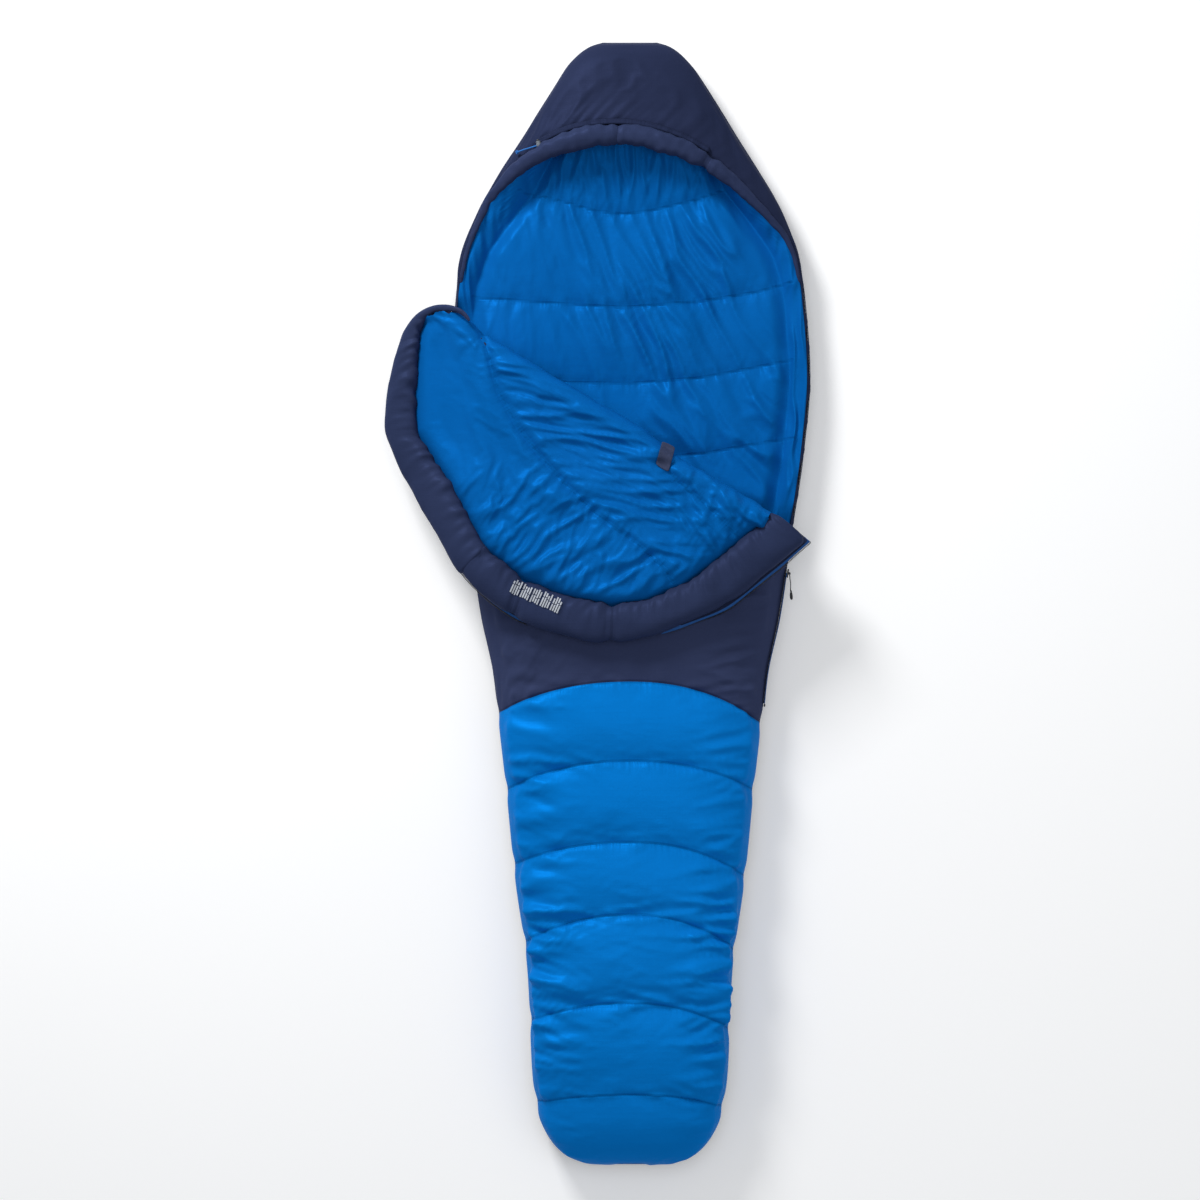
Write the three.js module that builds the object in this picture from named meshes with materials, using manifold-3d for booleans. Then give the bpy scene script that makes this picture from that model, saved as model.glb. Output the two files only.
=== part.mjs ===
// Mummy sleeping bag lying on its back panel, its front unzipped and folded over
// toward the foot. Millimetres, +Z up, +Y toward the hood. The origin is on the
// floor under the middle of the bounding box. The bag's own centre line lies at
// x = CENTRE_X, because the folded flap hangs out past its -X side.
//
// Every soft layer is a closed solid: fabrics are drawn FABRIC thick, and layers
// that touch keep GAP between them.

import * as THREE from 'three';
import { mergeVertices } from 'three/addons/utils/BufferGeometryUtils.js';
import Module from 'manifold-3d';

const wasm = await Module();
wasm.setup();

// ---------------------------------------------------------------- dimensions

const CENTRE_X = 60;
const FABRIC = 1.5;
const GAP = 0.3;

// Plan and height of the bag along its length: [y, half width, crown height].
const PROFILE = [
  [-1067, 62, 62],
  [-1046, 127, 86],
  [-1008, 159, 106],
  [-970, 174, 117],
  [-895, 185, 126],
  [-705, 194, 130],
  [-516, 219, 128],
  [-364, 234, 125],
  [-213, 251, 122],
  [-137, 258, 120],
  [-24, 283, 118],
  [128, 306, 114],
  [280, 329, 112],
  [431, 342, 110],
  [582, 331, 110],
  [658, 318, 110],
  [734, 288, 111],
  [809, 248, 112],
  [885, 201, 110],
  [961, 154, 101],
  [1036, 101, 82],
  [1067, 60, 62],
];
const EDGE_Z = 38; // height of the widest line, where back and front panels meet
const ARCH_POWER = 3; // squareness of the front panel's cross-section
const ARCH_STEPS = 12;
const CORNER_RUN = 60; // width of the rounded edge under the back panel
const CORNER_STEPS = 4;

const FRONT_PADDING = 42; // all layers of the front panel and the side walls
const HOOD_PADDING = 28; // all layers of the hood
const BACK_TOP_Z = 37.6; // top of the back panel's lining

const FOOT_SEAM_Y = -933;
const LEG_SEAM_Y = -147; // crest of the seam between leg fabric and chest band
const LEG_SEAM_SAG = 65; // how far the seam drops at the sides
const LEG_SEAM_TILT = 0.045;
const WALL_TOP_Z = 70; // side walls left standing round the opening
const WALL_END_Y = 690;

// The fold is a straight line over the front panel: the hinge of the flap.
const FOLD_A = new THREE.Vector3(-262, 554, 104);
const FOLD_B = new THREE.Vector3(321, 171, 128);
const FOLD_CLEARANCE = 0.6;
const ROLL_FROM = 60; // the turned fabric's start and end, measured from FOLD_A
const ROLL_TO = 690;

const FLAP_PADDING = 38;
const TUBE_HEIGHT = 46;
const DROOP = 50; // how far the flap sinks where nothing carries it
const DROOP_START_X = -200;
const DROOP_RUN = 200;

// Face opening in plan: a superellipse from side to side of the hood.
const RIM_BASE_Y = 680;
const RIM_RISE = 193;
const RIM_HALF_WIDTH = 300;
const RIM_POWER = 1.8;
const RIM_THIN = 6; // radius of the rim tube at the sides
const RIM_SWELL = 10; // what it gains at the crest
const RIM_CLEARANCE = 6; // between the rim tube and the hood's edge

const CORD_RADIUS = 1.5;
const ZIP_Z = 50; // height of the zip's coil on the side of the bag
const ZIP_START_Y = -190;
const ZIP_END_Y = 700;
const SLIDER_Y = 58;

const NAVY = 0x2b3450;
const ROYAL = 0x0b72c4;
const LINING_BLUE = 0x035ca8;
const TUBE_NAVY = 0x252f4a;
const PADDING_WHITE = 0xe9e9e4;
const CORD_BLUE = 0x1a5fa8;
const DARK_GREY = 0x24272c;
const MID_GREY = 0x7d8288;
const PALE_GREY = 0xc9ccd0;

// ------------------------------------------------------------- solid helpers

const bag = new THREE.Group();

function add(name, shape, colour, roughness = 0.6, metalness = 0) {
  const geometry = shape.isBufferGeometry ? shape : geometryOf(shape);
  const material = new THREE.MeshStandardMaterial({ color: colour, roughness, metalness });
  const mesh = new THREE.Mesh(geometry, material);
  mesh.name = name;
  bag.add(mesh);
}

function signedVolume(points, faces) {
  return faces.reduce((sum, [a, b, c]) => {
    const turned = points[b].clone().cross(points[c]);
    return sum + points[a].dot(turned) / 6;
  }, 0);
}

// A closed surface from points and triangles, turned so that its faces point out.
function surface(points, faces) {
  const outward = signedVolume(points, faces) > 0;
  const corners = faces.flatMap(([a, b, c]) => (outward ? [a, b, c] : [a, c, b]));
  const geometry = new THREE.BufferGeometry().setFromPoints(points);
  geometry.setIndex(corners);
  geometry.computeVertexNormals();
  return geometry;
}

// A closed solid through rings of points. Each ring is convex and has as many
// points as the others.
function loft(rings) {
  const count = rings[0].length;
  const faces = [];
  for (let i = 0; i + 1 < rings.length; i++) {
    for (let j = 0; j < count; j++) {
      const a = i * count + j;
      const b = i * count + ((j + 1) % count);
      faces.push([a, b, b + count], [a, b + count, a + count]);
    }
  }
  const last = (rings.length - 1) * count;
  for (let j = 1; j + 1 < count; j++) {
    faces.push([0, j + 1, j], [last, last + j, last + j + 1]);
  }
  return surface(rings.flat(), faces);
}

// A thin solid between two grids of points, one over the other.
function slab(rows, columns, low, high) {
  const points = [];
  for (const layer of [low, high]) {
    for (let i = 0; i <= rows; i++) {
      for (let j = 0; j <= columns; j++) {
        points.push(layer(i, j));
      }
    }
  }
  const lift = (rows + 1) * (columns + 1);
  const at = (i, j) => i * (columns + 1) + j;
  const faces = [];
  for (let i = 0; i < rows; i++) {
    for (let j = 0; j < columns; j++) {
      const [a, b, c, d] = [at(i, j), at(i, j + 1), at(i + 1, j + 1), at(i + 1, j)];
      faces.push([a, c, b], [a, d, c]);
      faces.push([a + lift, b + lift, c + lift], [a + lift, c + lift, d + lift]);
    }
  }
  const border = [];
  for (let j = 0; j < columns; j++) border.push(at(0, j));
  for (let i = 0; i < rows; i++) border.push(at(i, columns));
  for (let j = columns; j > 0; j--) border.push(at(rows, j));
  for (let i = rows; i > 0; i--) border.push(at(i, 0));
  border.forEach((a, k) => {
    const b = border[(k + 1) % border.length];
    faces.push([a, b, b + lift], [a, b + lift, a + lift]);
  });
  return surface(points, faces);
}

function solidOf(geometry) {
  const plain = geometry.clone();
  plain.deleteAttribute('normal');
  plain.deleteAttribute('uv');
  const merged = mergeVertices(plain, 1e-4);
  return new wasm.Manifold(
    new wasm.Mesh({
      numProp: 3,
      vertProperties: merged.attributes.position.array,
      triVerts: new Uint32Array(merged.index.array),
    }),
  );
}

function geometryOf(solid) {
  const mesh = solid.getMesh();
  const geometry = new THREE.BufferGeometry();
  geometry.setAttribute('position', new THREE.BufferAttribute(mesh.vertProperties, 3));
  geometry.setIndex(new THREE.BufferAttribute(mesh.triVerts, 1));
  geometry.computeVertexNormals();
  return geometry;
}

// A vertical prism over an outline of [x, y] points.
function prism(outline, low, high) {
  const shape = new THREE.Shape(outline.map(([x, y]) => new THREE.Vector2(x, y)));
  const geometry = new THREE.ExtrudeGeometry(shape, { depth: high - low, bevelEnabled: false });
  return solidOf(geometry.translate(0, 0, low));
}

function block(low, high) {
  const size = high.map((value, axis) => value - low[axis]);
  const geometry = new THREE.BoxGeometry(...size);
  const middle = low.map((value, axis) => value + size[axis] / 2);
  return solidOf(geometry.translate(...middle));
}

const range = (count) => Array.from({ length: count + 1 }, (_, i) => i);
const lerp = THREE.MathUtils.lerp;
const smooth = (value) => THREE.MathUtils.smoothstep(value, 0, 1);

// ------------------------------------------------------------ the bag's form

function profileAt(y) {
  const above = PROFILE.findIndex(([station]) => station >= y);
  const high = PROFILE[Math.max(above, 1)];
  const low = PROFILE[Math.max(above, 1) - 1];
  const share = (y - low[0]) / (high[0] - low[0]);
  return { half: lerp(low[1], high[1], share), crown: lerp(low[2], high[2], share) };
}

function stationsWithin(inset) {
  const first = PROFILE[0][0] + inset;
  const last = PROFILE.at(-1)[0] - inset;
  const between = PROFILE.map(([y]) => y).filter((y) => y > first + 1 && y < last - 1);
  return [first, ...between, last];
}

// Height of the front panel's outer face over a point of the plan.
function archZ(x, y) {
  const { half, crown } = profileAt(y);
  const across = Math.min(Math.abs(x - CENTRE_X) / half, 1);
  return EDGE_Z + (crown - EDGE_Z) * (1 - across ** ARCH_POWER) ** (1 / ARCH_POWER);
}

// Everything under the front panel's face once it is inset by a thickness. A
// cutter also reaches below the panel's foot, so that it leaves no skin there.
function dome(inset, reachDown = 0) {
  const power = 2 / ARCH_POWER;
  const rings = stationsWithin(inset).map((y) => {
    const { half, crown } = profileAt(y);
    const width = half - inset;
    const height = Math.max(crown - EDGE_Z - inset, 2);
    const ring = range(ARCH_STEPS).map((step) => {
      const angle = (Math.PI * step) / ARCH_STEPS;
      const side = Math.cos(angle);
      const x = CENTRE_X + width * Math.sign(side) * Math.abs(side) ** power;
      return new THREE.Vector3(x, y, EDGE_Z + height * Math.max(Math.sin(angle), 0) ** power);
    });
    if (reachDown) {
      ring.push(new THREE.Vector3(CENTRE_X - width, y, EDGE_Z - reachDown));
      ring.push(new THREE.Vector3(CENTRE_X + width, y, EDGE_Z - reachDown));
    }
    return ring;
  });
  return solidOf(loft(rings));
}

// The padded tray under the sleeper, flat on the floor with rounded long edges.
function keel(inset, top) {
  const rings = stationsWithin(inset).map((y) => {
    const width = profileAt(y).half - inset;
    const run = Math.min(CORNER_RUN, width * 0.6);
    const side = range(CORNER_STEPS).map((step) => {
      const angle = (Math.PI / 2) * (step / CORNER_STEPS);
      const z = inset + (EDGE_Z - inset) * (1 - Math.cos(angle));
      return [width - run + run * Math.sin(angle), z];
    });
    if (top > EDGE_Z) side.push([width, top]);
    const right = side.map(([x, z]) => new THREE.Vector3(CENTRE_X + x, y, z));
    const left = side.map(([x, z]) => new THREE.Vector3(CENTRE_X - x, y, z)).reverse();
    return [...right, ...left];
  });
  return solidOf(loft(rings));
}

// Everything inside the bag's outline once that is inset by a thickness.
function core(inset, low, high) {
  const rings = stationsWithin(inset).map((y) => {
    const width = profileAt(y).half - inset;
    return [[-width, low], [width, low], [width, high], [-width, high]]
      .map(([x, z]) => new THREE.Vector3(CENTRE_X + x, y, z));
  });
  return solidOf(loft(rings));
}

// ------------------------------------------------------- regions of the plan

const FAR = 1200;
const foldRun = FOLD_B.clone().sub(FOLD_A).setZ(0);
const foldLength = foldRun.length();
const foldAlong = foldRun.clone().normalize();
const foldAway = new THREE.Vector3(foldAlong.y, -foldAlong.x, 0); // toward the foot

function foldPoint(along, away) {
  return [
    FOLD_A.x + along * foldAlong.x + away * foldAway.x,
    FOLD_A.y + along * foldAlong.y + away * foldAway.y,
  ];
}

// The plane that holds the fold line and lies level across it.
function foldPlaneZ(x, y) {
  const along = (x - FOLD_A.x) * foldAlong.x + (y - FOLD_A.y) * foldAlong.y;
  return FOLD_A.z + ((FOLD_B.z - FOLD_A.z) * along) / foldLength;
}

function legSeamY(x) {
  const across = x - CENTRE_X;
  return LEG_SEAM_Y - LEG_SEAM_SAG * (across / 250) ** 2 - LEG_SEAM_TILT * across;
}

function legSeam(shift) {
  return range(8).map((step) => {
    const x = CENTRE_X - 320 + step * 80;
    return [x, legSeamY(x) + shift];
  });
}

const halfGap = GAP / 2;
const footRegion = block([-FAR, -FAR, 0], [FAR, FOOT_SEAM_Y - halfGap, 300]);
const legRegion = prism(
  [[-FAR, FOOT_SEAM_Y + halfGap], [FAR, FOOT_SEAM_Y + halfGap], [FAR, legSeam(0).at(-1)[1]],
    ...legSeam(-halfGap).reverse(), [-FAR, legSeam(0)[0][1]]], 0, 300);
const chestRegion = prism(
  [[-FAR, legSeam(0)[0][1]], ...legSeam(halfGap), [FAR, legSeam(0).at(-1)[1]],
    foldPoint(FAR, FOLD_CLEARANCE), foldPoint(-FAR, FOLD_CLEARANCE)], 0, 300);
const frontRegion = prism(
  [[-FAR, -FAR], [FAR, -FAR], foldPoint(FAR, FOLD_CLEARANCE), foldPoint(-FAR, FOLD_CLEARANCE)],
  0, 300);
const openRegion = prism(
  [foldPoint(-FAR, -FOLD_CLEARANCE), foldPoint(FAR, -FOLD_CLEARANCE), [FAR, FAR]], 0, WALL_TOP_Z)
  .intersect(block([-FAR, -FAR, 0], [FAR, WALL_END_Y - halfGap, WALL_TOP_Z]));

const rimRadius = (angle) => RIM_THIN + RIM_SWELL * Math.sin(angle) ** 2;

function rimPoint(angle, offset) {
  const power = 2 / RIM_POWER;
  const side = Math.cos(angle);
  const x = (RIM_HALF_WIDTH + offset) * Math.sign(side) * Math.abs(side) ** power;
  const y = RIM_BASE_Y + (RIM_RISE + offset) * Math.max(Math.sin(angle), 0) ** power;
  return [CENTRE_X + x, y];
}

// The hood begins behind the rim tube; below the wall top it runs forward.
function hoodRegion() {
  const edge = range(18).map((step) => {
    const angle = (Math.PI * step) / 18;
    return rimPoint(angle, 2 * rimRadius(angle) + RIM_CLEARANCE);
  });
  const opening = prism([[FAR, RIM_BASE_Y - 200], ...edge, [-FAR, RIM_BASE_Y - 200]],
    WALL_TOP_Z, 400);
  return block([-FAR, WALL_END_Y + halfGap, 0], [FAR, FAR, 300]).subtract(opening);
}

// -------------------------------------------------------------- back panel

function addBackPanel() {
  const rise = 20;
  const shell = keel(0, EDGE_Z).subtract(keel(FABRIC, EDGE_Z + rise));
  const inside = keel(FABRIC + GAP, EDGE_Z + rise);
  const liningLow = BACK_TOP_Z - FABRIC;
  const below = block([-FAR, -FAR, 0], [FAR, FAR, liningLow - GAP]);
  const cover = block([-FAR, -FAR, liningLow], [FAR, FAR, BACK_TOP_Z]);
  add('back_shell', shell, NAVY, 0.55);
  add('back_insulation', inside.intersect(below), PADDING_WHITE, 0.95);
  add('back_lining', inside.intersect(cover), LINING_BLUE, 0.5);
}

// ------------------------------------------- front panel, walls and the hood

function layers(padding) {
  const reach = 10;
  const first = FABRIC + GAP;
  const last = padding - FABRIC;
  return {
    shell: dome(0).subtract(dome(FABRIC, reach)),
    insulation: dome(first).subtract(dome(last - GAP, reach)),
    lining: dome(last).subtract(dome(padding, reach)),
  };
}

function addFrontPanel(front) {
  add('footbox_shell', front.shell.intersect(footRegion), ROYAL, 0.5);
  add('footbox_insulation', front.insulation.intersect(footRegion), PADDING_WHITE, 0.95);
  add('leg_shell', front.shell.intersect(legRegion), ROYAL, 0.5);
  add('leg_insulation', front.insulation.intersect(legRegion), PADDING_WHITE, 0.95);
  add('chest_shell', front.shell.intersect(chestRegion), NAVY, 0.55);
  add('chest_insulation', front.insulation.intersect(chestRegion), PADDING_WHITE, 0.95);
  add('front_lining', front.lining.intersect(frontRegion), LINING_BLUE, 0.5);
}

function addSideWalls(front) {
  const innerFace = FRONT_PADDING;
  const liningFace = innerFace - FABRIC;
  const room = (inset) => core(inset, 0, WALL_TOP_Z + 10);
  const shell = front.shell.subtract(room(innerFace));
  const insulation = dome(FABRIC + GAP).subtract(room(liningFace - GAP));
  const lining = room(liningFace).subtract(room(innerFace))
    .intersect(block([-FAR, -FAR, EDGE_Z], [FAR, FAR, WALL_TOP_Z]));
  const halves = {
    left: block([-FAR, -FAR, 0], [CENTRE_X, FAR, 300]),
    right: block([CENTRE_X, -FAR, 0], [FAR, FAR, 300]),
  };
  for (const [side, half] of Object.entries(halves)) {
    const region = openRegion.intersect(half);
    add(`wall_shell_${side}`, shell.intersect(region), NAVY, 0.55);
    add(`wall_insulation_${side}`, insulation.intersect(region), PADDING_WHITE, 0.95);
    add(`wall_lining_${side}`, lining.intersect(region), LINING_BLUE, 0.5);
  }
}

function addHood() {
  const hood = layers(HOOD_PADDING);
  const region = hoodRegion();
  add('hood_shell', hood.shell.intersect(region), NAVY, 0.55);
  add('hood_insulation', hood.insulation.intersect(region), PADDING_WHITE, 0.95);
  add('hood_lining', hood.lining.intersect(region), LINING_BLUE, 0.5);
}

// --------------------------------------------- hood rim and drawcord channel

// A tube of changing radius through points of a level-ish path.
function tube(points, radii, sides = 8) {
  const rings = points.map((point, i) => {
    const before = points[Math.max(i - 1, 0)];
    const after = points[Math.min(i + 1, points.length - 1)];
    const heading = after.clone().sub(before).normalize();
    const aside = new THREE.Vector3(heading.y, -heading.x, 0).normalize();
    const upright = aside.clone().cross(heading).normalize();
    return range(sides - 1).map((step) => {
      const angle = (2 * Math.PI * step) / sides;
      return point.clone()
        .addScaledVector(aside, radii[i] * Math.cos(angle))
        .addScaledVector(upright, radii[i] * Math.sin(angle));
    });
  });
  return loft(rings);
}

function addHoodRim() {
  const ends = { right: [0.06, 0.498], left: [0.502, 0.81] };
  for (const [side, [from, to]] of Object.entries(ends)) {
    const angles = range(9).map((step) => Math.PI * lerp(from, to, step / 9));
    const radii = angles.map(rimRadius);
    const path = angles.map((angle, i) => {
      const [rimX, y] = rimPoint(angle, radii[i] + 1);
      const inside = profileAt(y).half - radii[i] - 2;
      const x = CENTRE_X + THREE.MathUtils.clamp(rimX - CENTRE_X, -inside, inside);
      const z = Math.max(archZ(x, y) - radii[i], WALL_TOP_Z + radii[i] + 1);
      return new THREE.Vector3(x, y, z);
    });
    add(`hood_rim_${side}`, tube(path, radii), TUBE_NAVY, 0.5);
  }
}

function addDrawcordChannel() {
  const radius = 4.5;
  const angles = range(10).map((step) => Math.PI * lerp(0.34, 0.655, step / 10));
  const path = angles.map((angle) => {
    const [x, y] = rimPoint(angle, 2 * rimRadius(angle) + RIM_CLEARANCE + 1.5 * radius);
    return new THREE.Vector3(x, y, archZ(x, y) + radius + 3);
  });
  add('drawcord_channel', tube(path, path.map(() => radius)), NAVY, 0.55);
}

// ------------------------------------------------------ drawcord and its lock

const CORD_EXIT = new THREE.Vector3(-99, 869, 107);
const CORD_HEADING = new THREE.Vector3(-0.92, -0.25, -0.3).normalize();
const CORD_STRAIGHT = 46;
const CORD_END = new THREE.Vector3(-153, 854, 83);
const LOCK_AT = 14; // from the cord's exit to the middle of the lock
const LOCK_RADIUS = 4.5;
const LOCK_LENGTH = 15;
const LOCK_BORE = 2.2;
const BUTTON_TRAVEL = 3;

function addDrawcord() {
  const alongCord = (distance) => CORD_EXIT.clone().addScaledVector(CORD_HEADING, distance);
  const path = [0, 16, 32, CORD_STRAIGHT].map(alongCord);
  path.push(path.at(-1).clone().lerp(CORD_END, 0.5).add(new THREE.Vector3(0, 0, 1.5)));
  path.push(CORD_END);
  add('drawcord_tail', tube(path, path.map(() => CORD_RADIUS)), CORD_BLUE, 0.7);
}

// The lock is a barrel across the cord, with a sprung button in one end.
function addCordLock() {
  const across = new THREE.Vector3(CORD_HEADING.y, -CORD_HEADING.x, 0).normalize();
  const centre = CORD_EXIT.clone().addScaledVector(CORD_HEADING, LOCK_AT);
  const bar = (axis, radius, from, to, sides) => {
    const points = [from, to].map((distance) => centre.clone().addScaledVector(axis, distance));
    return solidOf(tube(points, [radius, radius], sides));
  };
  const half = LOCK_LENGTH / 2;
  const wellDepth = 5;
  const wellRadius = 3;
  const body = bar(across, LOCK_RADIUS, -half, half, 12)
    .subtract(bar(CORD_HEADING, LOCK_BORE, -10, 10, 12))
    .subtract(bar(across, wellRadius, half - wellDepth, half + 1, 12));
  const button = bar(across, wellRadius - GAP, half - wellDepth + BUTTON_TRAVEL + GAP,
    half + BUTTON_TRAVEL + GAP, 12);
  add('cord_lock_body', body, MID_GREY, 0.45);
  add('cord_lock_button', button, DARK_GREY, 0.45);
}

// ------------------------------------------------------------------- side zip

// A strip along the right edge of the bag. The section is [out, z] corners,
// out being the distance outside the bag's widest line.
function edgeStrip(from, to, section) {
  const inner = PROFILE.map(([y]) => y).filter((y) => y > from + 5 && y < to - 5);
  const rings = [from, ...inner, to].map((y) =>
    section.map(([out, z]) => new THREE.Vector3(CENTRE_X + profileAt(y).half + out, y, z)));
  return loft(rings);
}

const tapeSection = (low, high) => [[GAP, low], [GAP + 1, low], [GAP + 1, high], [GAP, high]];
const coilSection = [[GAP, -2], [GAP + 2.5, -2], [GAP + 2.5, 2], [GAP, 2]]
  .map(([out, z]) => [out, ZIP_Z + z]);

function addSideZip() {
  const coilHalf = 2;
  const tapeWidth = 9;
  const lowerTop = ZIP_Z - coilHalf - GAP;
  const upperLow = ZIP_Z + coilHalf + GAP;
  const stopAt = ZIP_START_Y - GAP;
  add('zip_tape_back', edgeStrip(ZIP_START_Y, ZIP_END_Y, tapeSection(lowerTop - tapeWidth, lowerTop)),
    CORD_BLUE, 0.8);
  add('zip_coil_back', edgeStrip(ZIP_START_Y, ZIP_END_Y, coilSection), DARK_GREY, 0.5);
  add('zip_tape_front', edgeStrip(ZIP_START_Y, SLIDER_Y, tapeSection(upperLow, upperLow + tapeWidth)),
    CORD_BLUE, 0.8);
  add('zip_bottom_stop', edgeStrip(stopAt - 5, stopAt,
    [[GAP, ZIP_Z - 4], [GAP + 3, ZIP_Z - 4], [GAP + 3, ZIP_Z + 4], [GAP, ZIP_Z + 4]]),
    DARK_GREY, 0.5);
}

// The slider rides on the coil. Two ears hold the pull's knuckle between them.
const ZIP_LEAN = Math.atan2(329 - 283, 280 + 24); // run of the zip past the slider
const SLIDER_OUT = 3.6;
const PIVOT_OUT = 8;

function zipFrame(geometry) {
  const outline = CENTRE_X + profileAt(SLIDER_Y).half;
  geometry.rotateZ(-ZIP_LEAN);
  geometry.translate(outline, SLIDER_Y, ZIP_Z);
  return geometry;
}

function addSlider() {
  const plateOutline = new THREE.Shape([
    [-9, -3.5], [7, -6], [9, -4], [9, 4], [7, 6], [-9, 3.5],
  ].map(([y, z]) => new THREE.Vector2(y, z)));
  const plate = new THREE.ExtrudeGeometry(plateOutline, { depth: 2.2, bevelEnabled: false });
  // The outline's axes become the bag's Y and Z, and its depth the bag's X.
  const turn = new THREE.Matrix4().makeBasis(
    new THREE.Vector3(0, 1, 0), new THREE.Vector3(0, 0, 1), new THREE.Vector3(1, 0, 0));
  plate.applyMatrix4(turn).translate(SLIDER_OUT, 0, 0);
  const ear = (z) => block([SLIDER_OUT + 2, -2.5, z - 0.9], [PIVOT_OUT + 2.2, 2.5, z + 0.9]);
  const slider = solidOf(plate).add(ear(-3.6)).add(ear(3.6));
  add('zip_slider', zipFrame(geometryOf(slider)), DARK_GREY, 0.35, 0.6);
}

function pullFrame(geometry) {
  const swing = THREE.MathUtils.degToRad(13);
  geometry.rotateZ(swing);
  geometry.translate(PIVOT_OUT, 0, 0);
  return zipFrame(geometry);
}

function addPull() {
  const knuckle = new THREE.CylinderGeometry(1.8, 1.8, 4.8, 12).rotateX(Math.PI / 2);
  const tab = solidOf(knuckle).add(block([-0.8, -11, -2.2], [0.8, 0, 2.2]));
  add('zip_pull_tab', pullFrame(geometryOf(tab)), DARK_GREY, 0.35, 0.6);
  const cord = tube([new THREE.Vector3(0, -11.3, 0), new THREE.Vector3(0, -35, 0)], [1.2, 1.2]);
  add('zip_pull_cord', pullFrame(cord), DARK_GREY, 0.8);
  const tip = tube([-35.3, -38, -48, -50].map((y) => new THREE.Vector3(0, y, 0)),
    [2.2, 3, 2.8, 1.6]);
  add('zip_pull_tip', pullFrame(tip), DARK_GREY, 0.5);
}

// ----------------------------------------------------------------- the flap

// The tube round the flap, as [inner x, inner y, outer x, outer y] in plan: first
// along the neck edge from the fold, then along the zip edge back to the fold.
const NECK_EDGE = [
  [-262, 546, -278, 557],
  [-300, 548, -325, 556],
  [-328, 530, -362, 522],
  [-337, 495, -379, 480],
  [-342, 445, -391, 430],
  [-344, 385, -404.8, 380],
  [-342, 325, -404.8, 325],
  [-318, 285, -378, 262],
  [-285, 238, -345, 200],
  [-250, 180, -305, 132],
  [-214, 112, -262, 60],
];
const ZIP_EDGE = [
  [-208, 102, -254, 50],
  [-176, 76, -205, 3],
  [-136, 46, -160, -24],
  [-80, 21, -100, -49],
  [-22, 8, -40, -66],
  [27, 0, 22, -75],
  [85, 6, 90, -64],
  [158, 37, 185, -28],
  [212, 76, 240, -2],
  [264, 120, 312, 54],
  [318, 160, 388, 112],
];

function droopAt(x) {
  return DROOP * smooth((DROOP_START_X - x) / DROOP_RUN);
}

function overFold(x, y, height) {
  return new THREE.Vector3(x, y, foldPlaneZ(x, y) + height - droopAt(x));
}

function addFlapLayers() {
  const rows = NECK_EDGE.length - 1;
  const columns = 6;
  const inset = 1.2 / 100;
  const sheet = (height) => (i, j) => {
    const [ax, ay] = NECK_EDGE[i];
    const [bx, by] = ZIP_EDGE[rows - i];
    const share = lerp(inset, 1 - inset, j / columns);
    const narrow = i === rows ? 0.5 : 0;
    return overFold(lerp(ax, bx, share), lerp(ay, by, share) + narrow, height);
  };
  const liningLow = FLAP_PADDING - FABRIC;
  add('flap_shell', slab(rows, columns, sheet(GAP), sheet(GAP + FABRIC)), NAVY, 0.55);
  add('flap_insulation', slab(rows, columns, sheet(2 * GAP + FABRIC), sheet(liningLow - GAP)),
    PADDING_WHITE, 0.95);
  add('flap_lining', slab(rows, columns, sheet(liningLow), sheet(FLAP_PADDING)), LINING_BLUE, 0.5);
}

// An oval tube between the inner and the outer line of a run of the flap's edge.
function edgeTube(edge) {
  const sides = 10;
  const clear = 1;
  const rings = edge.map(([ix, iy, ox, oy]) => {
    const inner = new THREE.Vector2(ix, iy);
    const across = new THREE.Vector2(ox, oy).sub(inner);
    const width = across.length();
    const height = Math.min(TUBE_HEIGHT, width);
    return range(sides - 1).map((step) => {
      const angle = (2 * Math.PI * step) / sides;
      const share = (clear + (width - clear) * (0.5 - 0.5 * Math.cos(angle))) / width;
      const point = inner.clone().addScaledVector(across, share);
      return overFold(point.x, point.y, GAP + height * (0.5 + 0.5 * Math.sin(angle)));
    });
  });
  return loft(rings);
}

function addFlapZip() {
  const strip = (name, near, far, low, high, colour) => {
    const rows = ZIP_EDGE.length - 1;
    const at = (height) => (i, j) => {
      const [ix, iy, ox, oy] = ZIP_EDGE[i];
      const out = new THREE.Vector2(ox - ix, oy - iy).normalize();
      const shown = 8 * smooth((i - 4) / 4); // the tape comes out from under the tube
      const reach = (j ? far : near) + shown;
      return overFold(ox + out.x * reach, oy + out.y * reach, height);
    };
    add(name, slab(rows, 1, at(low), at(high)), colour, 0.8);
  };
  strip('zip_tape_flap', -12, 0, -2.2, -0.9, CORD_BLUE);
  strip('zip_coil_flap', GAP, 2.8, -3, -0.4, DARK_GREY);
}

function addFlapTrim() {
  const patch = new THREE.BoxGeometry(96, 30, 1);
  patch.rotateZ(THREE.MathUtils.degToRad(-24));
  const patchX = -118;
  const patchY = 0;
  patch.translate(patchX, patchY, foldPlaneZ(patchX, patchY) + TUBE_HEIGHT + 4);
  add('care_patch', patch, PALE_GREY, 0.7);
  const tabCorners = [[120, 298], [143, 283], [129, 247], [107, 261]];
  const tab = slab(1, 1,
    (i, j) => overFold(...tabCorners[i ? 3 - j : j], FLAP_PADDING + GAP),
    (i, j) => overFold(...tabCorners[i ? 3 - j : j], FLAP_PADDING + GAP + FABRIC));
  add('lining_tab', tab, NAVY, 0.7);
}

function addFlap() {
  addFlapLayers();
  add('neck_tube', edgeTube(NECK_EDGE), TUBE_NAVY, 0.5);
  add('draft_tube', edgeTube(ZIP_EDGE), TUBE_NAVY, 0.5);
  addFlapZip();
  addFlapTrim();
}

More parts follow.
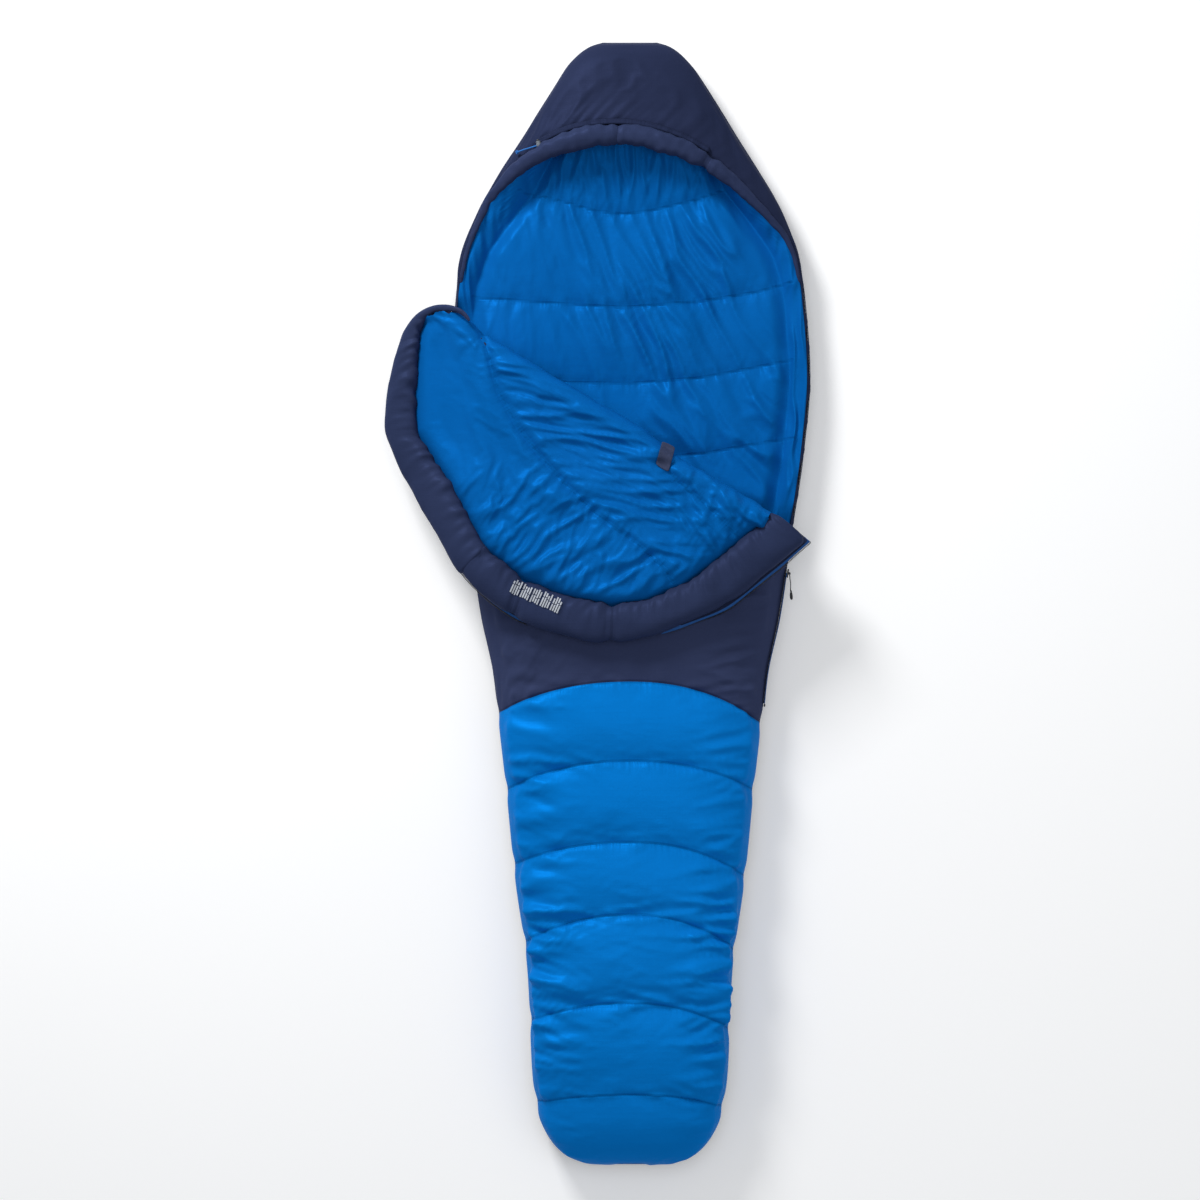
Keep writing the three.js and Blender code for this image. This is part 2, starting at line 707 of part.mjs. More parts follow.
// The turned fabric of the fold: half a roll on the head side of the fold line.
function addFoldRoll() {
  const rings = range(8).map((step) => {
    const along = lerp(ROLL_FROM, ROLL_TO, step / 8);
    return range(6).map((turn) => {
      const angle = Math.PI * (0.5 + turn / 6);
      const away = -FOLD_CLEARANCE + (FLAP_PADDING - 2) * Math.cos(angle);
      const [x, y] = foldPoint(along, away);
      return new THREE.Vector3(x, y, foldPlaneZ(x, y) + (FLAP_PADDING - 2) * Math.sin(angle));
    });
  });
  add('fold_roll', loft(rings), LINING_BLUE, 0.5);
}

// ------------------------------------------------------------------ assembly

const front = layers(FRONT_PADDING);
addBackPanel();
addFrontPanel(front);
addSideWalls(front);
addHood();
addHoodRim();
addDrawcordChannel();
addDrawcord();
addCordLock();
addSideZip();
addSlider();
addPull();
addFoldRoll();
addFlap();

export default bag;
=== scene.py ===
# Looks of the mummy sleeping bag: quilted shells, lining, hood, folded front and trim,
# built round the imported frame. Metres, +Z up, +Y from foot to hood.
import math

import bpy
import numpy as np
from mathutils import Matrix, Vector
from mathutils.bvhtree import BVHTree


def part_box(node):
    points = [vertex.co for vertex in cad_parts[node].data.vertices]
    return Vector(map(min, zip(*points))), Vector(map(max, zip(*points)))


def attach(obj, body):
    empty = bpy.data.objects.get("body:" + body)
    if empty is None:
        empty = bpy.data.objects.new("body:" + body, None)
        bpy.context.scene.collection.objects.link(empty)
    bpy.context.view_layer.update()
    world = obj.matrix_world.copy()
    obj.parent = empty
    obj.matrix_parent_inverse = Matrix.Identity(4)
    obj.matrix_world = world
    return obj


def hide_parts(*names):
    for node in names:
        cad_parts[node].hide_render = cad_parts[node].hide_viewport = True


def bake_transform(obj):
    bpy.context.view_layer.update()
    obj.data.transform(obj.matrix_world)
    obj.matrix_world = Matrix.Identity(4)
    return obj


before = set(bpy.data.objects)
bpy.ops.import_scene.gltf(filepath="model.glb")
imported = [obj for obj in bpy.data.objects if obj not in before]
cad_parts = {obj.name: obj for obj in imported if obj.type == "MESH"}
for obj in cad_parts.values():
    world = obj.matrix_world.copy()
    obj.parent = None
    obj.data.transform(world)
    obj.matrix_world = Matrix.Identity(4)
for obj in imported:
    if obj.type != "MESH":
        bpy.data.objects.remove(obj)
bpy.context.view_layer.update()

# ------------------------------------------------------------------ dimensions

BACK_LOW, BACK_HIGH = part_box("back_shell")
CENTRE_X = (BACK_LOW.x + BACK_HIGH.x) / 2
EDGE_Z = BACK_HIGH.z  # the side seam, where front and back panels meet

# The bag along its length: y, half width, height of the front panel's crown.
PROFILE = np.array([
    (-1.067, 0.050, 0.039),
    (-1.062, 0.088, 0.066),
    (-1.046, 0.126, 0.089),
    (-1.008, 0.158, 0.109),
    (-0.970, 0.174, 0.120),
    (-0.895, 0.185, 0.128),
    (-0.705, 0.194, 0.131),
    (-0.516, 0.219, 0.129),
    (-0.364, 0.234, 0.126),
    (-0.213, 0.251, 0.123),
    (-0.137, 0.259, 0.121),
    (-0.024, 0.283, 0.119),
    (0.128, 0.305, 0.115),
    (0.280, 0.328, 0.112),
    (0.431, 0.341, 0.110),
    (0.582, 0.331, 0.110),
    (0.658, 0.318, 0.110),
    (0.734, 0.289, 0.111),
    (0.809, 0.249, 0.112),
    (0.885, 0.201, 0.110),
    (0.961, 0.154, 0.101),
    (1.036, 0.103, 0.083),
    (1.060, 0.074, 0.064),
    (1.067, 0.052, 0.039),
])
SQUARENESS = 2.7  # power of the front panel's cross-section

# Sewn lines across the front, from the foot up: y at the middle, left and right ends.
FOOT_SEAM = (-0.925, -0.944, -0.952)
QUILTS = [(-0.752, -0.790, -0.806), (-0.586, -0.642, -0.656), (-0.450, -0.494, -0.516),
          (-0.297, -0.352, -0.352)]
LEG_SEAM = (-0.147, -0.207, -0.226)

# The fold line and the plane of the folded front, as the hinge has them.
FOLD_A = Vector((-0.262, 0.554, 0.104))
FOLD_B = Vector((0.321, 0.171, 0.128))
FOLD_RUN = Vector((FOLD_B.x - FOLD_A.x, FOLD_B.y - FOLD_A.y))
ALONG = FOLD_RUN.normalized()
AWAY = Vector((ALONG.y, -ALONG.x))  # toward the foot
FLAP_THICK = 0.038  # height of the flap's lining over its underside
FLAP_EDGE = 0.014  # the same where the lining goes under the tubes
TOP_LIMIT = 0.182  # the lining stays below this, near the top of the frame's box

HALF_LENGTH = 1.067
OPENING_Y = 0.590  # where the face opening starts on either side


# --------------------------------------------------------------- small helpers

def smooth(x):
    x = np.clip(x, 0.0, 1.0)
    return x * x * (3 - 2 * x)


def spline(xs, ys, x):
    """A smooth curve through points, with no overshoot between them."""
    xs, ys = np.asarray(xs, float), np.asarray(ys, float)
    h = np.diff(xs)
    d = np.diff(ys) / h
    m = np.zeros_like(ys)
    m[1:-1] = np.where(d[:-1] * d[1:] > 0, 2 * d[:-1] * d[1:] / (d[:-1] + d[1:] + 1e-12), 0)
    m[0], m[-1] = d[0], d[-1]
    x = np.clip(x, xs[0], xs[-1])
    i = np.clip(np.searchsorted(xs, x) - 1, 0, len(h) - 1)
    t = (x - xs[i]) / h[i]
    a = (1 + 2 * t) * (1 - t) ** 2
    b = t * (1 - t) ** 2
    c = t * t * (3 - 2 * t)
    e = t * t * (t - 1)
    return a * ys[i] + b * h[i] * m[i] + c * ys[i + 1] + e * h[i] * m[i + 1]


def half_width(y):
    return spline(PROFILE[:, 0], PROFILE[:, 1], y)


def drawn_in(y, side):
    """How far the side seam is drawn in at the ends of the sewn lines of one side."""
    ends = [line[1 if side < 0 else 2] for line in [FOOT_SEAM] + QUILTS + [LEG_SEAM]]
    return sum(0.0035 * np.exp(-((y - end) / 0.016) ** 2) for end in ends) - 0.0005


def crown(y):
    return spline(PROFILE[:, 0], PROFILE[:, 2], y)


def arch_z(x, y, power=SQUARENESS):
    """Height of the front panel's face over a point of the plan."""
    across = np.clip(np.abs(x - CENTRE_X) / half_width(y), 0, 1)
    return EDGE_Z + (crown(y) - EDGE_Z) * (1 - across ** power) ** (1 / power)


def plane_z(x, y):
    """Height of the plane of the folded front."""
    along = (x - FOLD_A.x) * ALONG.x + (y - FOLD_A.y) * ALONG.y
    return FOLD_A.z + (FOLD_B.z - FOLD_A.z) * along / FOLD_RUN.length


def fold_edge(along):
    """How far the edge of the folded fabric lies on the foot side of the hinge's line."""
    return np.interp(along, [0.0, 0.030, 0.065, 0.226, 0.410, 0.508, 0.690, 0.730],
                     [0.009, 0.010, 0.018, 0.012, 0.002, 0.011, 0.002, 0.000])


class Noise:
    """Smooth gradient noise over a plane, the same on every run."""

    def __init__(self, seed):
        rng = np.random.default_rng(seed)
        angle = rng.uniform(0, 2 * math.pi, (256, 256))
        self.gx, self.gy = np.cos(angle), np.sin(angle)

    def __call__(self, x, y):
        x, y = np.broadcast_arrays(np.asarray(x, float), np.asarray(y, float))
        i, j = np.floor(x).astype(int), np.floor(y).astype(int)
        fx, fy = x - i, y - j

        def corner(a, b):
            gi, gj = (i + a) % 256, (j + b) % 256
            return self.gx[gi, gj] * (fx - a) + self.gy[gi, gj] * (fy - b)

        u, v = smooth(fx), smooth(fy)
        low = corner(0, 0) * (1 - u) + corner(1, 0) * u
        high = corner(0, 1) * (1 - u) + corner(1, 1) * u
        return 1.6 * (low * (1 - v) + high * v)


def folds(seed, x, y, angle, width, length, sharp=1.5):
    """Soft folds of cloth from 0 to 1. They run at an angle over the plane, about width wide and
    length long, and wander a little."""
    turn = np.radians(angle)
    run = x * np.cos(turn) + y * np.sin(turn)
    side = y * np.cos(turn) - x * np.sin(turn)
    wander = Noise(seed + 500)
    side = side + 0.5 * width * wander(run / (0.6 * length), side / (3 * width))
    field = Noise(seed)(run / length, side / (1.6 * width))
    return (1 - np.clip(np.abs(field) * 1.6, 0, 1)) ** sharp


def run_along(path):
    """Distance along a path of each of its points from the first one."""
    return np.concatenate([[0], np.cumsum(np.linalg.norm(np.diff(path, axis=0), axis=1))])


def unit(vectors):
    return vectors / np.linalg.norm(vectors, axis=1, keepdims=True)


def smooth_path(points, count):
    """A smooth curve through points, at equal steps of its length."""
    p = np.asarray(points, float)
    run = run_along(p)
    tangent = np.gradient(p, run, axis=0)
    t = np.linspace(0, run[-1], count)
    i = np.clip(np.searchsorted(run, t, side="right") - 1, 0, len(run) - 2)
    h = (run[i + 1] - run[i])[:, None]
    f = (t - run[i])[:, None] / h
    near = (1 + 2 * f) * (1 - f) ** 2 * p[i] + h * f * (1 - f) ** 2 * tangent[i]
    far = f * f * (3 - 2 * f) * p[i + 1] + h * f * f * (f - 1) * tangent[i + 1]
    return near + far


def line_distance(x, y, line):
    """Distance of points of the plan from a line, and how far along the line they lie."""
    best = np.full(np.shape(x), 9.0)
    along = np.zeros(np.shape(x))
    run = 0.0
    for a, b in zip(line[:-1], line[1:]):
        dx, dy = b[0] - a[0], b[1] - a[1]
        size = math.hypot(dx, dy)
        t = np.clip(((x - a[0]) * dx + (y - a[1]) * dy) / size ** 2, 0, 1)
        gap = np.hypot(x - a[0] - t * dx, y - a[1] - t * dy)
        along = np.where(gap < best, run + t * size, along)
        best = np.minimum(best, gap)
        run += size
    return best, along


def nearest_line(x, y, lines):
    """The same for several lines: the smallest distance and the place along that line."""
    found = [line_distance(x, y, line) for line in lines]
    gaps = np.array([gap for gap, _ in found])
    pick = np.argmin(gaps, axis=0)[None]
    runs = np.array([run for _, run in found])
    return np.take_along_axis(gaps, pick, 0)[0], np.take_along_axis(runs, pick, 0)[0]


def inside(x, y, outline):
    """True for the points of the plan that lie within an outline."""
    hit = np.zeros(np.shape(x), bool)
    for a, b in zip(outline, outline[1:] + outline[:1]):
        crosses = (a[1] > y) != (b[1] > y)
        at = a[0] + (y - a[1]) * (b[0] - a[0]) / (b[1] - a[1] + 1e-12)
        hit ^= crosses & (x < at)
    return hit


def depth_in(x, y, outline):
    """Distance of points of the plan from an outline, negative outside it."""
    gap, _ = line_distance(x, y, outline)
    return np.where(inside(x, y, outline), gap, -gap)


# --------------------------------------------------------------------- meshes

def grid_faces(rows, cols, ring=False):
    faces = []
    for i in range(rows - 1):
        for j in range(cols if ring else cols - 1):
            k = (j + 1) % cols
            faces.append((i * cols + j, i * cols + k, (i + 1) * cols + k, (i + 1) * cols + j))
    return faces


def tube_faces(rows, sides):
    """Faces of a tube of rings, with a cap at either end."""
    faces = grid_faces(rows, sides, ring=True)
    faces.append(tuple(range(sides - 1, -1, -1)))
    faces.append(tuple(range((rows - 1) * sides, rows * sides)))
    return faces


def mesh_object(name, points, faces, material, seam=None, stitch=None, levels=1):
    """A smooth-shaded mesh with its material and subdivision. seam is each point's distance
    from the nearest sewn line, stitch its place along that line."""
    mesh = bpy.data.meshes.new(name)
    flat = np.asarray(points, float).reshape(-1, 3)
    mesh.from_pydata(flat.tolist(), [], faces)
    mesh.polygons.foreach_set("use_smooth", [True] * len(mesh.polygons))
    for key, values in (("seam", seam), ("stitch", stitch)):
        values = np.full(len(flat), 1.0) if values is None else np.asarray(values).ravel()
        layer = mesh.attributes.new(key, "FLOAT", "POINT")
        layer.data.foreach_set("value", values.astype(np.float32))
    mesh.materials.append(material)
    obj = bpy.data.objects.new(name, mesh)
    bpy.context.scene.collection.objects.link(obj)
    if levels:
        sub = obj.modifiers.new("Fine", "SUBSURF")
        sub.levels = sub.render_levels = levels
    return obj


def grid_normals(points):
    """Normals of a grid, on the side where the one at its middle points up."""
    normal = np.cross(np.gradient(points, axis=1), np.gradient(points, axis=0))
    normal = normal / (np.linalg.norm(normal, axis=2, keepdims=True) + 1e-12)
    return normal * np.sign(normal[len(points) // 2, points.shape[1] // 2, 2])


def settle(points, faces, rest, pins, pressure, frames=16, limit=0.02, bend=0.3, tension=12):
    """Cloth simulation of a mesh. rest holds its points at the size the fabric is cut to, pins is
    1 where it is sewn down. Returns the settled points, none moved further than limit."""
    shape = points.shape
    flat = points.reshape(-1, 3)
    mesh = bpy.data.meshes.new("settling")
    mesh.from_pydata(flat.tolist(), [], faces)
    obj = bpy.data.objects.new("settling", mesh)
    scene = bpy.context.scene
    scene.collection.objects.link(obj)
    obj.shape_key_add(name="Basis")
    cut = obj.shape_key_add(name="Cut")
    cut.data.foreach_set("co", rest.reshape(-1).astype(np.float32))
    cut.value = 0
    group = obj.vertex_groups.new(name="sewn")
    weights = np.clip(pins.reshape(-1), 0, 1)
    for i in np.nonzero(weights > 0.003)[0]:
        group.add([int(i)], float(weights[i]), "REPLACE")
    cloth = obj.modifiers.new("Cloth", "CLOTH")
    s = cloth.settings
    s.quality = 5
    s.mass = 0.12
    s.tension_stiffness = s.compression_stiffness = tension
    s.shear_stiffness = tension * 0.4
    s.bending_stiffness = bend
    s.tension_damping = s.compression_damping = s.shear_damping = 5
    s.air_damping = 2
    s.vertex_group_mass = "sewn"
    s.pin_stiffness = 1
    s.rest_shape_key = cut
    s.use_pressure = True
    s.uniform_pressure_force = pressure
    s.effector_weights.gravity = 0
    cloth.collision_settings.use_collision = False
    cloth.point_cache.frame_start = 1
    cloth.point_cache.frame_end = frames
    for step in range(1, frames + 1):
        scene.frame_set(step)
    shown = obj.evaluated_get(bpy.context.evaluated_depsgraph_get())
    out = np.zeros(len(flat) * 3)
    shown.data.vertices.foreach_get("co", out)
    move = np.nan_to_num(out.reshape(-1, 3) - flat, posinf=0, neginf=0)
    scene.frame_set(1)
    bpy.data.objects.remove(obj)
    bpy.data.meshes.remove(mesh)
    size = np.linalg.norm(move, axis=1, keepdims=True)
    return (flat + move * limit / np.maximum(size, limit)).reshape(shape)


# ------------------------------------------------------------------ materials

class Nodes:
    """Short names for building a shader."""

    def __init__(self, name):
        self.material = bpy.data.materials.new(name)
        self.material.use_nodes = True
        self.tree = self.material.node_tree
        self.bsdf = self.tree.nodes["Principled BSDF"]
        self.place = None

    def add(self, kind, **settings):
        node = self.tree.nodes.new(kind)
        for key, value in settings.items():
            if hasattr(node, key):
                setattr(node, key, value)
            else:
                node.inputs[key.replace("_", " ")].default_value = value
        return node

    def link(self, a, b):
        self.tree.links.new(a, b)

    def math(self, operation, a, b=None, c=None):
        node = self.tree.nodes.new("ShaderNodeMath")
        node.operation = operation
        for slot, value in zip(node.inputs, (a, b, c)):
            if value is None:
                continue
            if isinstance(value, (int, float)):
                slot.default_value = value
            else:
                self.link(value, slot)
        return node.outputs[0]

    def attribute(self, name):
        return self.add("ShaderNodeAttribute", attribute_name=name).outputs["Fac"]

    def mix(self, factor, a, b):
        node = self.tree.nodes.new("ShaderNodeMix")
        node.data_type = "RGBA"
        for socket, value in ((node.inputs[0], factor), (node.inputs[6], a), (node.inputs[7], b)):
            if isinstance(value, (int, float)):
                socket.default_value = value
            elif isinstance(value, tuple):
                socket.default_value = (*value, 1)
            else:
                self.link(value, socket)
        return node.outputs[2]

    def object_place(self):
        """The object's own coordinates, from one node for all textures."""
        if self.place is None:
            self.place = self.add("ShaderNodeTexCoord").outputs["Object"]
        return self.place

    def noise(self, scale, detail=3.0, rough=0.55, stretch=None):
        source = self.object_place()
        if stretch:
            mapping = self.add("ShaderNodeMapping")
            mapping.inputs["Scale"].default_value = stretch
            self.link(source, mapping.inputs["Vector"])
            source = mapping.outputs[0]
        node = self.add("ShaderNodeTexNoise", Scale=scale, Detail=detail, Roughness=rough)
        self.link(source, node.inputs["Vector"])
        return node.outputs["Fac"]

    def wave(self, direction, scale, distortion=0.0):
        node = self.add("ShaderNodeTexWave", bands_direction=direction, Scale=scale,
                        Distortion=distortion)
        self.link(self.object_place(), node.inputs["Vector"])
        return node.outputs["Fac"]

    def roughness(self, texture, low, high):
        spread = self.add("ShaderNodeMapRange")
        spread.inputs["To Min"].default_value = low
        spread.inputs["To Max"].default_value = high
        self.link(texture, spread.inputs["Value"])
        self.link(spread.outputs[0], self.bsdf.inputs["Roughness"])

    def bump(self, height):
        node = self.add("ShaderNodeBump", Strength=1.0, Distance=1.0)
        self.link(height, node.inputs["Height"])
        self.link(node.outputs[0], self.bsdf.inputs["Normal"])


# Distances from a sewn line within which each effect shows, and the length of one stitch.
STITCH_HALF = 0.0009
GROOVE_HALF = 0.0042
GATHER_REACH = 0.030
STITCH_LENGTH = 0.0042
STITCH_SHARE = 0.66


def fabric(name, colour, thread, gloss, satin, roughness, gather=1.0, ripstop=1.0):
    """Satin nylon: fine weave, a faint ripstop grid, small creases, sewn lines with their
    stitches, gathers and painted shade in their grooves where the mesh carries 'seam' and 'stitch'."""
    n = Nodes(name)
    dark = tuple(c * 0.86 for c in colour)
    light = tuple(min(1, c * 1.10 + 0.002) for c in colour)
    base = n.mix(n.noise(5.0, 2.0), dark, light)
    seam = n.attribute("seam")
    along = n.attribute("stitch")
    near = n.math("SUBTRACT", 1.0, n.math("DIVIDE", seam, STITCH_HALF))
    near = n.math("MULTIPLY", n.math("MAXIMUM", near, 0.0), 2.0)
    near = n.math("MINIMUM", near, 1.0)
    part_of_stitch = n.math("FRACT", n.math("DIVIDE", along, STITCH_LENGTH))
    dash = n.math("LESS_THAN", part_of_stitch, STITCH_SHARE)
    stitch = n.math("MULTIPLY", near, dash)
    groove = n.math("SUBTRACT", 1.0, n.math("DIVIDE", seam, GROOVE_HALF))
    groove = n.math("MAXIMUM", groove, 0.0)
    # Painted shade: the colour darkens toward half its value in the groove along each sewn line, where
    # shade falls; at the seam between chest band and legs it also stands for dark piping.
    base = n.mix(n.math("MULTIPLY", groove, 0.55), base, tuple(c * 0.5 for c in colour))
    base = n.mix(n.math("MULTIPLY", stitch, 0.7), base, thread)
    n.link(base, n.bsdf.inputs["Base Color"])

    n.roughness(n.noise(38.0), roughness - 0.05, roughness + 0.07)
    n.bsdf.inputs["Sheen Weight"].default_value = 0.02
    n.bsdf.inputs["Sheen Roughness"].default_value = 0.4
    n.bsdf.inputs["Sheen Tint"].default_value = (*gloss, 1)
    n.bsdf.inputs["IOR"].default_value = 1.24
    n.bsdf.inputs["Specular Tint"].default_value = (*gloss, 1)
    n.bsdf.inputs["Specular IOR Level"].default_value = 0.03
    # The satin gloss shows on the broad faces; the flanks stay matt.
    facing = n.add("ShaderNodeSeparateXYZ")
    n.link(n.add("ShaderNodeNewGeometry").outputs["Normal"], facing.inputs[0])
    facing = n.math("POWER", n.math("ABSOLUTE", facing.outputs[2]), 1.5)
    n.link(n.math("MULTIPLY", facing, satin), n.bsdf.inputs["Metallic"])

    # Weave and ripstop squares, then small creases, then gathers beside the sewn lines.
    threads = n.math("ADD", n.wave("X", 260.0), n.wave("Y", 260.0))
    squares = n.math("ADD", n.math("POWER", n.wave("X", 30.0), 24.0),
                     n.math("POWER", n.wave("Y", 30.0), 24.0))
    fine = n.math("ADD", n.math("MULTIPLY", threads, 0.00003),
                  n.math("MULTIPLY", squares, 0.00006 * ripstop))
    small = n.math("MULTIPLY", n.noise(60.0, 4.0, 0.6, (0.35, 1.0, 1.0)), 0.0007)
    fade = n.math("SUBTRACT", 1.0, n.math("DIVIDE", seam, GATHER_REACH))
    fade = n.math("POWER", n.math("MAXIMUM", fade, 0.0), 1.6)
    beside = n.add("ShaderNodeCombineXYZ")
    n.link(along, beside.inputs[0])
    n.link(n.math("MULTIPLY", seam, 0.22), beside.inputs[1])
    tucks = n.add("ShaderNodeTexNoise", Scale=85.0, Detail=2.0, Roughness=0.5)
    n.link(beside.outputs[0], tucks.inputs["Vector"])
    gathers = n.math("MULTIPLY", n.math("MULTIPLY", tucks.outputs["Fac"], fade), 0.0026 * gather)
    dip = n.math("MULTIPLY", groove, -0.0012)
    raised = n.math("MULTIPLY", stitch, 0.0002)
    height = fine
    for part in (small, gathers, dip, raised):
        height = n.math("ADD", height, part)
    n.bump(height)
    return n.material


BLUE_GLOSS, NAVY_GLOSS = (0.02, 0.34, 0.95), (0.20, 0.28, 0.60)
SHELL_BLUE = fabric("shell_blue", (0.001, 0.180, 0.590), (0.001, 0.10, 0.36), BLUE_GLOSS, 0.16, 0.42)
SHELL_NAVY = fabric("shell_navy", (0.018, 0.025, 0.062), (0.035, 0.045, 0.10), NAVY_GLOSS, 0.12, 0.46)
# The chest band is the same navy shell fabric with a lighter base: painted light for the band, which
# takes less light than the hood.
BAND_NAVY_PAINTED_LIGHT = fabric("band_navy_painted_light", (0.034, 0.046, 0.108), (0.045, 0.056, 0.12), NAVY_GLOSS, 0.12, 0.46)
TUBE_NAVY = fabric("tube_navy", (0.025, 0.036, 0.088), (0.030, 0.040, 0.09), NAVY_GLOSS, 0.12, 0.42,
                   gather=1.6)
LINING_BLUE = fabric("lining_blue", (0.001, 0.110, 0.395), (0.001, 0.06, 0.25), BLUE_GLOSS, 0.14,
                     0.40, ripstop=0.4)


def plain(name, colour, roughness, metallic=0.0, stripes=0.0):
    """Trim: webbing, plastic, metal, rubber or cord. Mottled colour and roughness, fine grain and,
    for woven trim, slanting ribs."""
    n = Nodes(name)
    mottle = n.noise(120.0, rough=0.6)
    worn = n.mix(mottle, tuple(c * 0.8 for c in colour), tuple(min(1, c * 1.2) for c in colour))
    n.link(worn, n.bsdf.inputs["Base Color"])
    n.roughness(n.noise(260.0, rough=0.6), roughness - 0.08, roughness + 0.10)
    n.bsdf.inputs["Metallic"].default_value = metallic
    height = n.math("MULTIPLY", n.noise(900.0, rough=0.6), 0.00004)
    if stripes:
        ribs = n.wave("DIAGONAL", stripes, 0.6)
        height = n.math("ADD", height, n.math("MULTIPLY", ribs, 0.00022))
    n.bump(height)
    return n.material


WEBBING = plain("webbing", (0.020, 0.030, 0.078), 0.80, stripes=190.0)
TAPE = plain("zip_tape", (0.003, 0.085, 0.330), 0.70, stripes=260.0)
COIL = plain("zip_coil", (0.012, 0.014, 0.022), 0.40)
METAL = plain("zip_metal", (0.030, 0.032, 0.038), 0.36, 0.75)
RUBBER = plain("pull_rubber", (0.012, 0.013, 0.016), 0.55)
CORD_DARK = plain("cord_dark", (0.014, 0.015, 0.020), 0.80, stripes=420.0)
CORD_BLUE = plain("cord_blue", (0.005, 0.130, 0.440), 0.70, stripes=380.0)
LOCK_GREY = plain("lock_grey", (0.120, 0.140, 0.170), 0.42)
LOCK_DARK = plain("lock_dark", (0.020, 0.022, 0.028), 0.42)
PRINT = plain("care_print", (0.420, 0.450, 0.500), 0.75)


# ---------------------------------------------------------- the front panel

def arch_table():
    """Arc length of the cross-section, from -1 at one side seam to 1 at the other, with its
    plan and height factors."""
    angle = np.linspace(0, math.pi, 1441)
    side = np.cos(angle)
    u = -np.sign(side) * np.abs(side) ** (2 / SQUARENESS)
    k = np.maximum(np.sin(angle), 0) ** (2 / SQUARENESS)
    length = np.concatenate([[0], np.cumsum(np.hypot(np.diff(u), 0.36 * np.diff(k)))])
    return length / length[-1] * 2 - 1, u, k


ARCH_S, ARCH_U, ARCH_K = arch_table()


def side_x(u, y):
    """x at a share u of the half width, where the sewn lines draw the sides in."""
    drawn = np.where(u < 0, drawn_in(y, -1), drawn_in(y, 1))
    return CENTRE_X + half_width(y) * u - drawn * u ** 3


def arch_point(s, y):
    """Point of the upper skin: s runs from -1 at the left side seam to 1 at the right one."""
    x = side_x(np.interp(s, ARCH_S, ARCH_U), y)
    z = EDGE_Z + (crown(y) - EDGE_Z) * np.interp(s, ARCH_S, ARCH_K)
    return np.stack(np.broadcast_arrays(x, y, z), -1)


def across_line(line, u):
    middle, left, right = line
    end = np.where(u < 0, left, right)
    return middle + (end - middle) * np.abs(u) ** 2.2


def fold_y(u):
    """y of the fold line where it crosses a column of the panel."""
    y = np.full_like(u, 0.35)
    for _ in range(12):
        x = CENTRE_X + half_width(y) * u
        along = (x - FOLD_A.x) * ALONG.x + (y - FOLD_A.y) * ALONG.y
        y = FOLD_A.y + (x - FOLD_A.x) * ALONG.y / ALONG.x + (fold_edge(along) + 0.002) / AWAY.y
    return y


def front_rows():
    """Rows of y from the foot to the fold, each row's place in its quilted cell from 0 to 1,
    and the numbers of the rows that are seams."""
    cols = 97
    cell = 0.0068
    s = np.linspace(-1, 1, cols)
    u = np.interp(s, ARCH_S, ARCH_U)
    lines = [np.full(cols, -HALF_LENGTH), across_line(FOOT_SEAM, u)]
    lines += [across_line(quilt, u) for quilt in QUILTS]
    lines += [across_line(LEG_SEAM, u), fold_y(u)]
    ys, place, seams = [], [], []
    for k in range(len(lines) - 1):
        steps = max(4, round(abs(lines[k + 1][cols // 2] - lines[k][cols // 2]) / cell))
        if k == 0:
            steps += 10
        for f in np.linspace(0, 1, steps + 1)[:-1]:
            share = f ** 1.7 if k == 0 else f
            ys.append(lines[k] * (1 - share) + lines[k + 1] * share)
            place.append(share)
        seams.append(len(ys))
    ys.append(lines[-1])
    place.append(1.0)
    return s, np.array(ys), np.array(place), seams[:-1]


def row_gaps(points, rows):
    """Distance of every grid point from the nearest of the given rows, along its column."""
    step = np.linalg.norm(np.diff(points, axis=0), axis=2)
    run = np.concatenate([np.zeros((1, points.shape[1])), np.cumsum(step, axis=0)])
    return np.min([np.abs(run - run[r]) for r in rows], axis=0)


def run_across(points):
    """Distance of every grid point from the left end of its row."""
    step = np.linalg.norm(np.diff(points, axis=1), axis=2)
    return np.concatenate([np.zeros((points.shape[0], 1)), np.cumsum(step, axis=1)], axis=1)


def put(obj, nodes, body="bag"):
    """Attach a finished piece to its body and hide the nodes of the frame it stands for."""
    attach(obj, body)
    if nodes:
        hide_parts(*nodes)
    return obj


